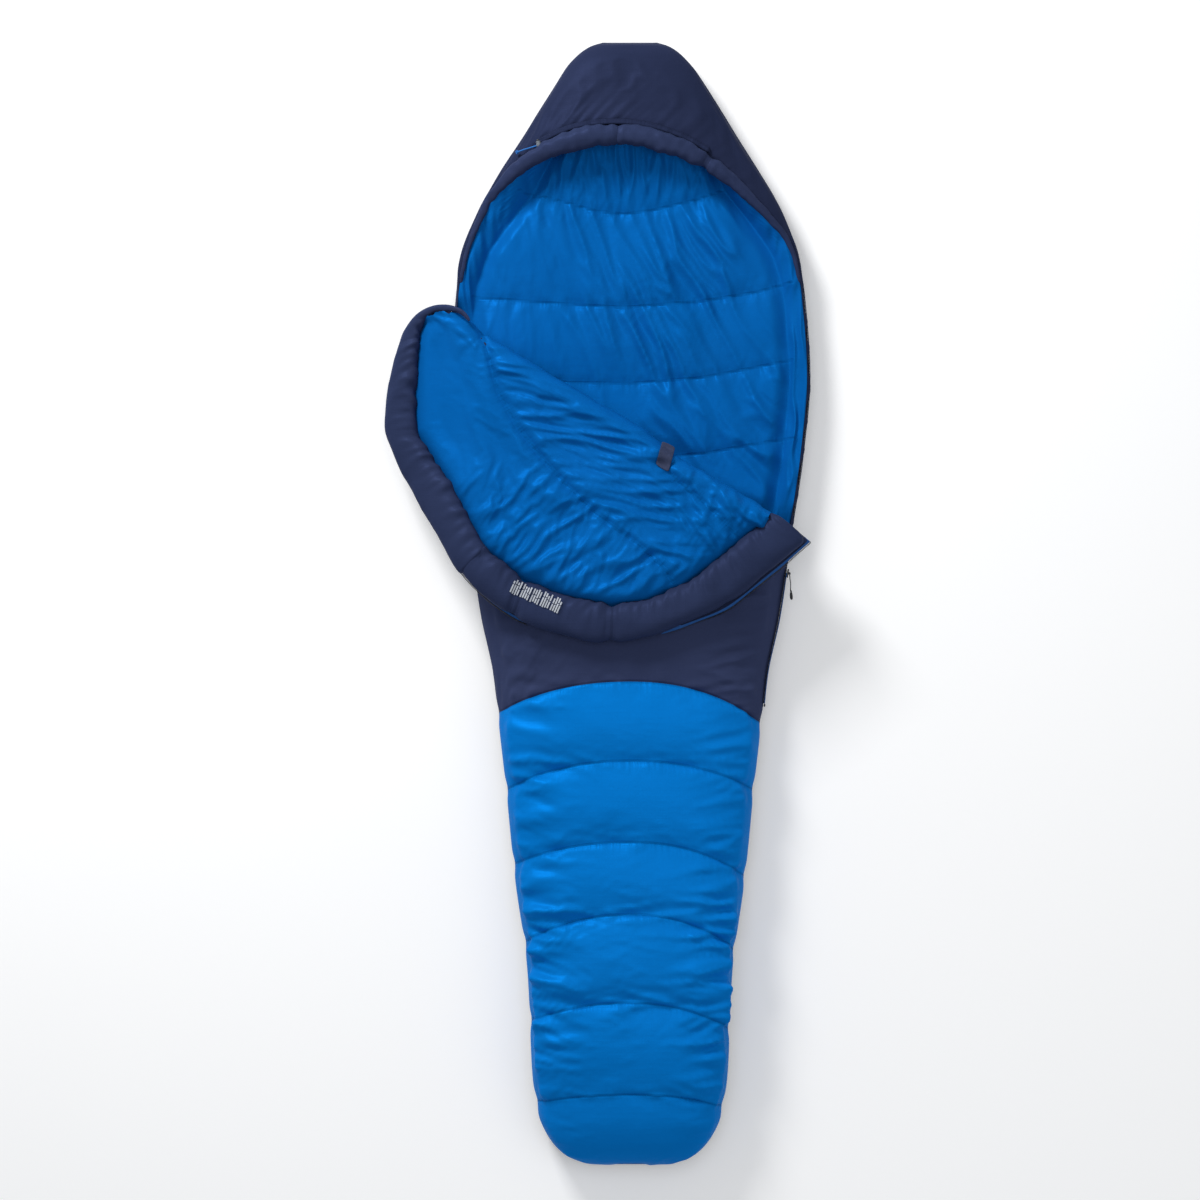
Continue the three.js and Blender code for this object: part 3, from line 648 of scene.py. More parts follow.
def build_front():
    s, y, place, seams = front_rows()
    points = arch_point(s[None, :], y)
    seam = row_gaps(points, seams)
    stitch = run_across(points)
    normal = grid_normals(points)
    x = points[..., 0]
    side = np.abs(np.interp(s, ARCH_S, ARCH_U))[None, :]
    shallow = smooth((1 - side) / 0.10)
    # Full between the sewn lines, drawn in at them.
    foot = (np.arange(len(y)) < seams[0])[:, None]
    navy = (np.arange(len(y)) > seams[-1])[:, None]
    loft = np.where(foot, 0.0055, np.where(navy, 0.004, 0.0100))
    cell = np.maximum(1 - (2 * place - 1) ** 2, 0)[:, None]
    puff = loft * cell ** (0.90 - 0.35 * side)
    foot_line = across_line(FOOT_SEAM, np.interp(s, ARCH_S, ARCH_U))
    faint = 1 - 0.85 * np.exp(-((y - foot_line) / 0.05) ** 2)
    tight = 0.40 + 0.65 * smooth(0.5 + 1.2 * Noise(10)(x * 8, y * 3)) + 0.3 * side ** 2
    sunk = (0.0030 * np.exp(-seam / 0.006) + 0.0030 * np.exp(-seam / 0.022)) * tight * faint
    # Folds that run in from the side seams and along the sewn lines.
    rim = smooth((side - 0.30) / 0.6)
    calm = np.where(foot, 0.45, 1.0) * (1 - 0.8 * smooth((side - 0.88) / 0.08))
    long_folds = folds(11, x, y, 3, 0.020, 0.20, 1.8) * (0.25 + 0.9 * rim)
    seam_folds = folds(12, x, y, -6, 0.014, 0.12, 1.7) * np.exp(-seam / 0.035)
    slant = np.where(x < CENTRE_X, folds(13, x, y, -17, 0.013, 0.11, 1.7),
                     folds(14, x, y, 14, 0.013, 0.11, 1.7))
    busy = 0.6 + 0.8 * smooth((0.22 - np.abs(y + 0.70)) / 0.15)
    creased = (0.0110 * long_folds + 0.0080 * seam_folds + 0.0085 * slant * rim) * busy
    lift = (puff - sunk + (creased * calm - 0.002) * shallow) * shallow
    start = points + normal * lift[..., None]
    # The fabric is cut longer than the cell it fills, more so toward the sides.
    longer = 1 + 0.03 + 0.035 * smooth((side - 0.35) / 0.6)
    rest = start.copy()
    rest[1:] = start[:1] + np.cumsum(np.diff(start, axis=0) * longer[..., None], axis=0)
    pins = 0.9 * (seam < 0.002)
    pins[:, 0] = pins[:, -1] = 1
    pins[:3] = pins[-1] = 1
    faces = grid_faces(len(y), len(s))
    done = settle(start, faces, rest, pins, 1.6, frames=18, limit=0.013, bend=0.15)
    for name, node, first, last, material, slot in (
            ("footbox", "footbox", 0, seams[0], SHELL_BLUE, "shell_blue"),
            ("leg_panel", "leg", seams[0], seams[-1], SHELL_BLUE, "shell_blue"),
            ("chest_band", "chest", seams[-1], len(y) - 1, BAND_NAVY_PAINTED_LIGHT, "shell_navy")):
        rows = slice(first, last + 1)
        obj = mesh_object(name, done[rows], grid_faces(last + 1 - first, len(s)), material,
                          seam[rows], stitch[rows])
        put(obj, [node + "_shell", node + "_insulation"])
    # The lining on the underside of the same panel.
    under = arch_point(s[None, ::2], y[::3, ::2])
    under[..., 0] = CENTRE_X + (under[..., 0] - CENTRE_X) * 0.985
    under[..., 2] = EDGE_Z + (under[..., 2] - EDGE_Z) * 0.45
    under[..., 2] += 0.004 * folds(15, under[..., 0], under[..., 1], 8, 0.03, 0.2) - 0.002
    obj = mesh_object("front_underside", under, grid_faces(*under.shape[:2]), LINING_BLUE)
    put(obj, ["front_lining"])


def build_back():
    """The panel under the sleeper, flat on the floor and rounded up to the side seam."""
    rows, cols = ((200, 65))
    t = np.linspace(0, math.pi, rows)
    even = np.linspace(-HALF_LENGTH, HALF_LENGTH, rows)
    y = (-HALF_LENGTH * np.cos(t) * 0.35 + 0.65 * even)[:, None]
    angle = np.linspace(0, math.pi, cols)[None, :]
    u = -np.sign(np.cos(angle)) * np.abs(np.cos(angle)) ** 0.42
    k = np.sin(angle) ** 0.42
    end = np.clip((HALF_LENGTH - np.abs(y)) / 0.045, 0, 1)
    depth = EDGE_Z * np.sqrt(1 - (1 - end) ** 2)
    x = side_x(u, y)
    z = EDGE_Z - depth * k
    lines = [FOOT_SEAM] + QUILTS + [LEG_SEAM, (0.02, -0.02, -0.02), (0.19, 0.16, 0.16),
             (0.37, 0.34, 0.34), (0.54, 0.52, 0.52), (0.72, 0.70, 0.70)]
    seam = np.min([np.abs(y - across_line(line, u)) for line in lines], axis=0)
    z = z + 0.005 * np.exp(-seam / 0.012) * k
    edge = smooth((np.abs(u) - 0.75) / 0.2) * k
    z = z + 0.004 * folds(21, x, y + 0 * x, 5, 0.016, 0.10) * edge
    points = np.stack(np.broadcast_arrays(x, y, np.maximum(z, 0.0006)), -1)
    obj = mesh_object("back_panel", points, grid_faces(rows, cols), SHELL_NAVY, seam,
                      run_across(points))
    put(obj, ["back_shell", "back_insulation"])


# ----------------------------------------------------- bed, side walls and hood

# The edge of the face opening in plan, from right to left, and the rim tube's radius there.
LIP = [
    (0.385, 0.590, 0.0030), (0.372, 0.645, 0.0035), (0.351, 0.690, 0.0050), (0.322, 0.722, 0.0065),
    (0.287, 0.754, 0.0085), (0.230, 0.800, 0.0125), (0.173, 0.832, 0.0160), (0.112, 0.853, 0.0185),
    (0.061, 0.865, 0.0180), (0.005, 0.864, 0.0188), (-0.048, 0.854, 0.0188), (-0.105, 0.836, 0.0145),
    (-0.149, 0.810, 0.0120), (-0.183, 0.780, 0.0090), (-0.211, 0.750, 0.0070), (-0.240, 0.700, 0.0050),
    (-0.255, 0.650, 0.0036), (-0.266, 0.590, 0.0030),
]

# Sewn lines of the bed's lining, in plan.
BED_LINES = [
    [(-0.150, 0.784), (-0.133, 0.777), (-0.086, 0.768), (-0.005, 0.745), (0.052, 0.739),
     (0.105, 0.747), (0.193, 0.768), (0.240, 0.788)],
    [(-0.240, 0.582), (-0.224, 0.580), (-0.084, 0.570), (0.048, 0.561), (0.194, 0.573),
     (0.302, 0.591), (0.368, 0.610)],
    [(-0.270, 0.432), (-0.160, 0.424), (-0.054, 0.419), (0.061, 0.417), (0.194, 0.428),
     (0.308, 0.450), (0.368, 0.462)],
    [(-0.240, 0.292), (-0.090, 0.276), (0.060, 0.270), (0.211, 0.286), (0.291, 0.301),
     (0.372, 0.314)],
    [(-0.240, 0.140), (0.060, 0.122), (0.360, 0.142)],
    [(-0.220, -0.020), (0.060, -0.035), (0.330, -0.020)],
]


WALL_TOP = 0.985  # the same share as lip_u gives, at the top of the side walls
ROLL_FROM = 0.76  # share of a half row of the bed's grid where its side roll starts
BED_Z, CREASE_Z = 0.0445, 0.0415
HEAD_END = 1.035


def lip_u(y, side):
    """Share of the half width at which the opening's edge lies, on the left (-1) or right (1)."""
    right = LIP[1:7]
    left = LIP[-2:-8:-1]
    right_u = [(x - CENTRE_X) / half_width(at) for x, at, _ in right]
    left_u = [(CENTRE_X - x) / half_width(at) for x, at, _ in left]
    on_right = np.interp(y, [0.600] + [p[1] for p in right], [WALL_TOP] + right_u)
    on_left = np.interp(y, [0.600] + [p[1] for p in left], [WALL_TOP] + left_u)
    return np.minimum(np.where(side > 0, on_right, on_left), WALL_TOP)


def bed_section(y, side):
    """Half width of the flat of the bed, of its edge, the edge's height and the roll's bulge, on
    the left (-1) or right (1) side."""
    half = half_width(y)
    opened = smooth((y - np.where(side > 0, 0.135, 0.53)) / 0.06)
    crease = half - np.interp(y, [0.60, 0.66, 0.78, 0.90, 1.03], [0.038, 0.045, 0.082, 0.070, 0.030])
    edge_u = lip_u(y, side) + 0.008 * smooth((y - 0.60) / 0.05)
    edge_u = np.minimum(np.maximum(edge_u, 0.76 - 0.14 * smooth((y - 0.94) / 0.10)), WALL_TOP)
    edge = half * edge_u
    crease = np.minimum(crease, edge - 0.012)
    under = 0.0005 + 0.0015 * smooth((y - 0.60) / 0.06) + 0.016 * smooth((y - 0.83) / 0.10)
    edge_z = np.minimum(arch_z(CENTRE_X + edge, y) - under, 0.082)
    return crease, edge, EDGE_Z + (edge_z - EDGE_Z) * opened, 0.006 * opened


def build_bed():
    rows, cols = ((214, 134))
    y = np.linspace(-0.30, HEAD_END, rows)[:, None]
    # Columns: the roll of each side takes an eighth of the grid.
    c = np.linspace(-1, 1, cols)[None, :]
    side = np.sign(c)
    crease, edge, edge_z, bulge = bed_section(y, side)
    q = np.clip((np.abs(c) - ROLL_FROM) / (1 - ROLL_FROM), 0, 1)
    flat = np.clip(np.abs(c) / ROLL_FROM, 0, 1)
    x = CENTRE_X + side * (crease * flat + (edge - crease) * q)
    roll_z = CREASE_Z + (edge_z - CREASE_Z) * q + bulge * np.sin(math.pi * q) ** 0.8
    z = np.where(q > 0, roll_z, BED_Z)
    y = y + 0 * x
    seam, stitch = nearest_line(x, y, BED_LINES)
    from_crease = np.abs(crease * (1 - flat))
    on_bed = smooth(from_crease / 0.030)
    puff = 0.011 * (1 - np.exp(-seam / 0.040)) - 0.003 * np.exp(-seam / 0.006)
    z = z + (puff * on_bed - 0.003 * (1 - on_bed)) * (q <= 0)
    # Long drapes down to the right, upright gathers under the hood, creases at the side.
    head = smooth((y - 0.73) / 0.07)
    lean = -60 + 45 * (x - 0.10)
    some = smooth(0.45 + 1.3 * Noise(30)(x * 5 + 2, y * 4))
    drape = folds(31, x, y, lean, 0.034, 0.26, 1.9) * (0.35 + 0.8 * some)
    drape = drape + 0.55 * folds(32, x, y, lean + 12, 0.016, 0.13, 1.5) * some
    upright = folds(33, x, y, 82, 0.016, 0.16, 1.3) + 0.5 * folds(34, x, y, 102, 0.010, 0.09, 1.3)
    left = smooth((-0.02 - x) / 0.15)
    lift = 0.0120 * drape * (1 - head) * (1 - 0.7 * left)
    lift = lift + 0.0072 * upright * np.maximum(head, 0.5 * left)
    lift = lift + 0.0022 * folds(35, x, y, 70, 0.010, 0.06) * np.exp(-seam / 0.03)
    z = z + lift * (0.25 + 0.75 * on_bed) * np.where(q > 0, 0.4, 1)
    rolled = np.sin(math.pi * q) * np.where(q > 0, 1, 0)
    z = z + 0.0120 * rolled * (folds(36, x, y, 84 * side, 0.011, 0.13, 1.3) - 0.4)
    points = np.stack([x, y, z], -1)
    rest = points.copy()
    rest[..., 0] = CENTRE_X + (x - CENTRE_X) * 1.03
    rest[..., 1] = 0.4 + (y - 0.4) * 1.025
    pins = 0.85 * (seam < 0.004) + 0.25 * (q > 0)
    pins[:, 0] = pins[:, -1] = 1
    pins[0] = pins[-1] = 1
    pins = np.maximum(pins, 0.5 * (np.abs(np.abs(c) - ROLL_FROM) < 0.01) * (y > 0.1))
    faces = grid_faces(rows, cols)
    done = settle(points, faces, rest, pins, 1.2, frames=18, limit=0.012, bend=0.12)
    obj = mesh_object("bed_lining", done, faces, LINING_BLUE, seam, stitch)
    put(obj, ["back_lining", "wall_lining_left", "wall_lining_right", "wall_insulation_left",
              "wall_insulation_right"])


def build_walls():
    """Outer skin of the bag beside the opening, from the side seam up to the zip's edge."""
    for name, low_y, high_y, side in (("left", 0.530, 0.602, -1), ("right", 0.120, 0.602, 1)):
        rows = 24 if side < 0 else 80
        y = np.linspace(low_y, high_y, rows)[:, None]
        k = np.linspace(0, 1, 9)[None, :]
        top_s = np.interp(WALL_TOP, ARCH_U, ARCH_S)
        s = 1 - (1 - top_s) * k
        points = arch_point(s, y + 0 * s)
        x = points[..., 0]
        ripple = 0.003 * np.sin(math.pi * k) * smooth((0.590 - y) / 0.05)
        points[..., 0] = x + ripple * np.sin(y * 95 + np.sin(y * 37))
        if side < 0:
            points[..., 0] = 2 * CENTRE_X - points[..., 0]
        obj = mesh_object("wall_" + name, points, grid_faces(rows, 9), SHELL_NAVY)
        put(obj, ["wall_shell_" + name])


def lip_path(count):
    """The lip with outward normals in plan and the tube's radius, at equal steps."""
    path = smooth_path(LIP, count)
    tangent = unit(np.gradient(path[:, :2], axis=0))
    outward = np.stack([tangent[:, 1], -tangent[:, 0]], 1)
    outward *= np.sign(outward[count // 2, 1])
    return path[:, :2], outward, path[:, 2]


def skin_place(x, y):
    """Arc coordinate of the upper skin over a point of the plan."""
    return np.interp((x - CENTRE_X) / half_width(y), ARCH_U, ARCH_S)


def smooth_rise(t):
    return np.sin(t * math.pi / 2) ** 0.9


def hood_grid(count, depth, offset):
    """Grid over the hood, from just behind the rim tube (row 0) to the side seam and head end.
    Columns follow the rim from right to left. Returns arc coordinates and y."""
    lip, outward, radius = lip_path(count)
    edge = lip + outward * (radius * offset)[:, None]
    top_s = np.interp(WALL_TOP, ARCH_U, ARCH_S)
    s_in = np.clip(skin_place(edge[:, 0], edge[:, 1]), -top_s, top_s)
    # The outer border: up the right seam, across the head end, down the left seam.
    t = np.linspace(0, 1, count)
    corner_right, corner_left = 0.34, 0.66
    rise = smooth_rise(np.clip(t / corner_right, 0, 1))
    fall = smooth_rise(np.clip((1 - t) / (1 - corner_left), 0, 1))
    y_out = OPENING_Y + (HALF_LENGTH - OPENING_Y) * np.minimum(rise, fall)
    s_out = np.clip(1 - 2 * (t - corner_right) / (corner_left - corner_right), -1, 1)
    share = np.linspace(0, 1, depth)[:, None]
    s = s_in[None, :] * (1 - share) + s_out[None, :] * share
    y = edge[None, :, 1] * (1 - share) + y_out[None, :] * share
    return s, y, share


def build_hood():
    cols, rows = ((181, 46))
    s, y, share = hood_grid(cols, rows, 1.75)
    points = arch_point(s, y)
    normal = grid_normals(points)
    x = points[..., 0]
    gap = run_across(points.transpose(1, 0, 2)).T
    around = run_across(points)
    border = smooth((1 - share) / 0.25)
    # Gathers run back from the drawcord channel; the rest is smooth and full.
    wide = np.abs(np.linspace(-1, 1, cols))[None, :]
    middle = smooth((0.62 - wide) / 0.2)
    wave = Noise(41)(around * 70, gap * 6) + 0.6 * Noise(42)(around * 130, gap * 9)
    gathers = 0.0062 * wave * np.exp(-gap / 0.024) * (0.30 + 0.70 * middle)
    soft = 0.0020 * Noise(43)(x * 5, y * 5) + 0.0003 * (folds(44, x, y, 75, 0.03, 0.2) - 0.4)
    puff = 0.004 * np.sin(math.pi * np.clip(share, 0, 1)) ** 0.6
    sink = 0.008 * np.exp(-gap / 0.012) * np.minimum(lip_path(cols)[2] / 0.016, 1) ** 3
    ends = smooth((1 - wide) / 0.06)
    points = points + normal * ((gathers + (soft + puff - sink) * border) * ends)[..., None]
    pins = np.zeros(x.shape)
    pins[:2] = pins[-2:] = 1
    pins[:, 0] = pins[:, -1] = 1
    faces = grid_faces(rows, cols)
    done = settle(points, faces, points, pins, 1.4, frames=14, limit=0.006, bend=2.0)
    obj = mesh_object("hood", done, faces, SHELL_NAVY, gap + 0.0012, around)
    put(obj, ["hood_shell", "hood_insulation"])
    # Lining on the hood's inner face.
    s, y, share = hood_grid(cols // 2, rows // 2, 1.0)
    inner = arch_point(s, np.minimum(y, 1.045))
    inner[..., 0] = CENTRE_X + (inner[..., 0] - CENTRE_X) * 0.97
    x, y = inner[..., 0], inner[..., 1]
    drop = 0.007 + 0.014 * smooth(share / 0.25) * np.ones_like(x)
    inner[..., 2] = np.maximum(inner[..., 2] - drop - 0.003 * folds(46, x, y, 90, 0.015, 0.1), 0.036)
    obj = mesh_object("hood_inside", inner, grid_faces(*inner.shape[:2]), LINING_BLUE)
    put(obj, ["hood_lining"])


def tube_points(path, side, up, wide, high, sides, power=2.2):
    """Rings round a path. wide and high are half sizes along side and up."""
    angle = np.linspace(0, 2 * math.pi, sides, endpoint=False)
    c = np.sign(np.cos(angle)) * np.abs(np.cos(angle)) ** (2 / power)
    s = np.sign(np.sin(angle)) * np.abs(np.sin(angle)) ** (2 / power)
    flat = path[:, None, :] + side[:, None, :] * (wide[:, None] * c)[..., None]
    return flat + up[:, None, :] * (high[:, None] * s)[..., None], angle


def round_ends(count, length, ends):
    """Factor that shrinks a tube's rings to nothing over a distance from either end."""
    run = np.linspace(0, length, count)
    near = np.clip(np.minimum(run + ends * 0.03, length - run + ends * 0.03) / ends, 0, 1)
    return np.sqrt(1 - (1 - near) ** 2)


def tube_object(name, rings, material, seam=None, stitch=None, levels=1):
    faces = tube_faces(*rings.shape[:2])
    return mesh_object(name, rings, faces, material, seam, stitch, levels)


RIM_STEPS = 320
RIM_LIMIT = 0.980  # share of the half width that the tube's middle keeps within
CROSS_SEAM_X = 0.198  # where a seam crosses the right half of the tube


def build_rim():
    lip, outward, radius = lip_path(RIM_STEPS)
    for name, first, last, seed in (("right", 6, 166, 51), ("left", 162, 314, 52)):
        part = slice(first, last)
        edge, out, r = lip[part], outward[part], radius[part]
        n = len(edge)
        run = run_along(edge)
        # The tube is thinner at the ends of each half and at the seam that crosses it.
        from_end = np.minimum(run, run[-1] - run)
        r = r * (0.66 + 0.34 * np.sqrt(np.clip(from_end / 0.012, 0, 1)))
        joint = np.abs(edge[:, 0] - CROSS_SEAM_X)
        r = r * (1 - 0.30 * np.exp(-(joint / 0.008) ** 2))
        r = r * (1 + 0.05 * Noise(seed)(run * 28, 0 * run))
        centre = edge + out * radius[part][:, None]
        half = RIM_LIMIT * half_width(centre[:, 1])
        centre[:, 0] = np.clip(centre[:, 0], CENTRE_X - half, CENTRE_X + half)
        top = arch_z(centre[:, 0], centre[:, 1])
        outer_end = run if name == "right" else run[-1] - run
        z = top + 0.15 * r + 0.001 - 0.005 * np.exp(-outer_end / 0.020)
        path = np.column_stack([centre, z])
        side = np.column_stack([out, np.zeros(n)])
        up = np.tile([0.0, 0.0, 1.0], (n, 1))
        sides = 22
        rings, angle = tube_points(path, side, up, r * 1.10, r * 1.02, sides)
        # Small gathers from the seam behind the tube and from the lip.
        ridge = Noise(seed + 2)(run[:, None] * 62, np.cos(angle)[None, :] * 1.2)
        ridge = ridge * (0.3 + 0.7 * np.abs(np.cos(angle))[None, :])
        middle = path[:, None, :]
        rings = middle + (rings - middle) * (1 + 0.19 * ridge)[..., None]
        seam = np.minimum(from_end, joint)[:, None] + np.zeros((1, sides))
        obj = tube_object("rim_" + name, rings, TUBE_NAVY, seam + 0.001, run[:, None] + 0 * seam)
        put(obj, ["hood_rim_" + name])


def build_channel():
    """The flat sleeve of the drawcord behind the rim tube, stitched along both edges."""
    lip, outward, radius = lip_path(RIM_STEPS)
    keep = (lip[:, 0] > -0.112) & (lip[:, 0] < 0.196)
    edge = (lip + outward * (radius * 2.0 + 0.0065)[:, None])[keep]
    out = outward[keep]
    n = len(edge)
    run = run_along(edge)
    end = round_ends(n, run[-1], 0.006)
    z = arch_z(edge[:, 0], edge[:, 1]) + 0.0015
    wave = Noise(53)(run * 70, 0 * run)
    path = np.column_stack([edge, z + 0.0008 * wave])
    side = np.column_stack([out, -0.15 * np.ones(n)])
    up = np.tile([0.0, 0.0, 1.0], (n, 1))
    high = 0.0042 * (1 + 0.12 * wave) * end
    rings, angle = tube_points(path, side, up, 0.0060 * end, high, 16, 2.0)
    across = np.abs(np.cos(angle))[None, :] * 0.006
    seam = np.abs(across - 0.0048) + np.zeros((n, 1)) + 0.0002
    obj = tube_object("drawcord_sleeve", rings, SHELL_NAVY, seam, run[:, None] + 0 * seam)
    put(obj, ["drawcord_channel"])


# ------------------------------------------------------------------- the flap

# The tube round the flap, as inner x, y and outer x, y in plan: along the neck edge from the
# fold, then along the zip edge back to the fold.
NECK_EDGE = [
    (-0.243, 0.528, -0.240, 0.535), (-0.258, 0.543, -0.255, 0.552), (-0.275, 0.549, -0.275, 0.561),
    (-0.297, 0.548, -0.306, 0.563), (-0.320, 0.541, -0.342, 0.548), (-0.333, 0.522, -0.367, 0.518),
    (-0.339, 0.490, -0.385, 0.468), (-0.342, 0.442, -0.396, 0.420), (-0.344, 0.385, -0.403, 0.372),
    (-0.342, 0.326, -0.402, 0.318), (-0.321, 0.291, -0.378, 0.258), (-0.294, 0.252, -0.350, 0.207),
    (-0.253, 0.184, -0.310, 0.138), (-0.215, 0.112, -0.264, 0.062), (-0.208, 0.102, -0.254, 0.050),
]
ZIP_EDGE = [
    (-0.218, 0.116, -0.266, 0.068), (-0.204, 0.098, -0.246, 0.043), (-0.180, 0.079, -0.212, 0.012),
    (-0.136, 0.046, -0.162, -0.025),
    (-0.080, 0.021, -0.101, -0.050), (-0.026, 0.008, -0.042, -0.066), (0.025, 0.001, 0.022, -0.075),
    (0.085, 0.007, 0.090, -0.063), (0.152, 0.034, 0.180, -0.030), (0.210, 0.074, 0.240, -0.002),
    (0.264, 0.118, 0.312, 0.054), (0.300, 0.148, 0.356, 0.090), (0.326, 0.176, 0.392, 0.122),
]
FLAP_LINES = [
    [(-0.226, 0.520), (-0.215, 0.500), (-0.187, 0.398), (-0.150, 0.330), (-0.109, 0.277),
     (-0.068, 0.230), (-0.024, 0.186), (0.022, 0.148), (0.073, 0.112), (0.128, 0.060),
     (0.140, 0.040)],
    [(0.118, 0.262), (0.152, 0.226), (0.188, 0.196), (0.222, 0.166), (0.262, 0.124)],
]
HINGE = Vector((ALONG.x, ALONG.y, (FOLD_B.z - FOLD_A.z) / FOLD_RUN.length)).normalized()
OVER = Vector((AWAY.x, AWAY.y, 0))
NORMAL = OVER.cross(HINGE)
NORMAL = NORMAL if NORMAL.z > 0 else -NORMAL
TUBE_HEIGHT = 0.046


def fold_place(along, away):
    """Plan of a point given along the fold from its left end and away from it."""
    return FOLD_A.x + along * ALONG.x + away * AWAY.x, FOLD_A.y + along * ALONG.y + away * AWAY.y


def droop(x):
    """How far the flap sinks beyond the bag's left side, where nothing carries it."""
    return 0.050 * smooth((-0.200 - x) / 0.200)


def flap_z(x, y):
    """Height of the underside of the folded flap."""
    return plane_z(x, y) - droop(x)


def flap_outline(edge_of):
    """Outline of the flap in plan: 0 for the tubes' inner line, 1 for the outer line."""
    return [(e[0] + (e[2] - e[0]) * edge_of, e[1] + (e[3] - e[1]) * edge_of)
            for e in NECK_EDGE + ZIP_EDGE[1:]]


def cut_grid(keep):
    """Faces of a grid whose corners are all kept, and the numbers of the points they use."""
    faces = [f for f in grid_faces(*keep.shape) if all(keep.flat[i] for i in f)]
    used = sorted({i for f in faces for i in f})
    number = {old: new for new, old in enumerate(used)}
    return [tuple(number[i] for i in f) for f in faces], np.array(used)


def flap_folds(x, y, seam):
    """Height of the wrinkles over the flap's lining: fans across from the fold to the long
    quilted line, steeper ones beyond the short line, gathers along the sewn lines."""
    line_a, _ = line_distance(x, y, FLAP_LINES[0])
    cross = np.interp(x, [-0.23, -0.215, -0.187, -0.109, -0.024, 0.073, 0.128],
                      [0.52, 0.50, 0.398, 0.277, 0.186, 0.112, 0.060])
    upper = smooth((y - cross) / 0.03)
    right = smooth((x - 0.115) / 0.07)
    fan = folds(61, x, y, -7, 0.014, 0.16, 1.35) + 0.55 * folds(62, x, y, -16, 0.009, 0.09, 1.3)
    steep = folds(63, x, y, -52, 0.012, 0.09, 1.3) + 0.5 * folds(64, x, y, 68, 0.011, 0.10, 1.3)
    near_a = np.exp(-line_a / 0.05)
    lower = folds(65, x, y, 38, 0.016, 0.12, 1.35) + 0.5 * folds(66, x, y, 62, 0.010, 0.07, 1.3)
    low_part = (1 - upper) * smooth((0.30 - y) / 0.12)
    smooth_part = (1 - upper) * smooth((y - 0.22) / 0.10)
    height = 0.0095 * fan * upper * (1 - 0.8 * right)
    height = height + 0.0100 * steep * upper * right
    height = height + 0.0100 * lower * low_part
    height = height + 0.0040 * folds(67, x, y, -24, 0.014, 0.11, 1.3) * smooth_part * near_a
    height = height + 0.0026 * folds(68, x, y, 5, 0.009, 0.06) * np.exp(-seam / 0.02)
    # A gathered point where the long quilted line starts.
    knot_x, knot_y = -0.222, 0.501
    knot = np.hypot(x - knot_x, y - knot_y)
    spokes = np.sin(9 * np.arctan2(y - knot_y, x - knot_x) + 1)
    return height + 0.003 * spokes * np.exp(-knot / 0.030) - 0.006 * np.exp(-knot / 0.010)


# Cross-section of the lining's turn at the fold, as distance from the hinge and height.
TURN_LOW = -0.041
TURN = [(0.030, TURN_LOW), (0.014, TURN_LOW), (-0.001, -0.035), (-0.010, -0.020), (-0.013, 0.0),
        (-0.010, 0.017), (-0.002, 0.029), (0.010, 0.036), (0.024, 0.038)]


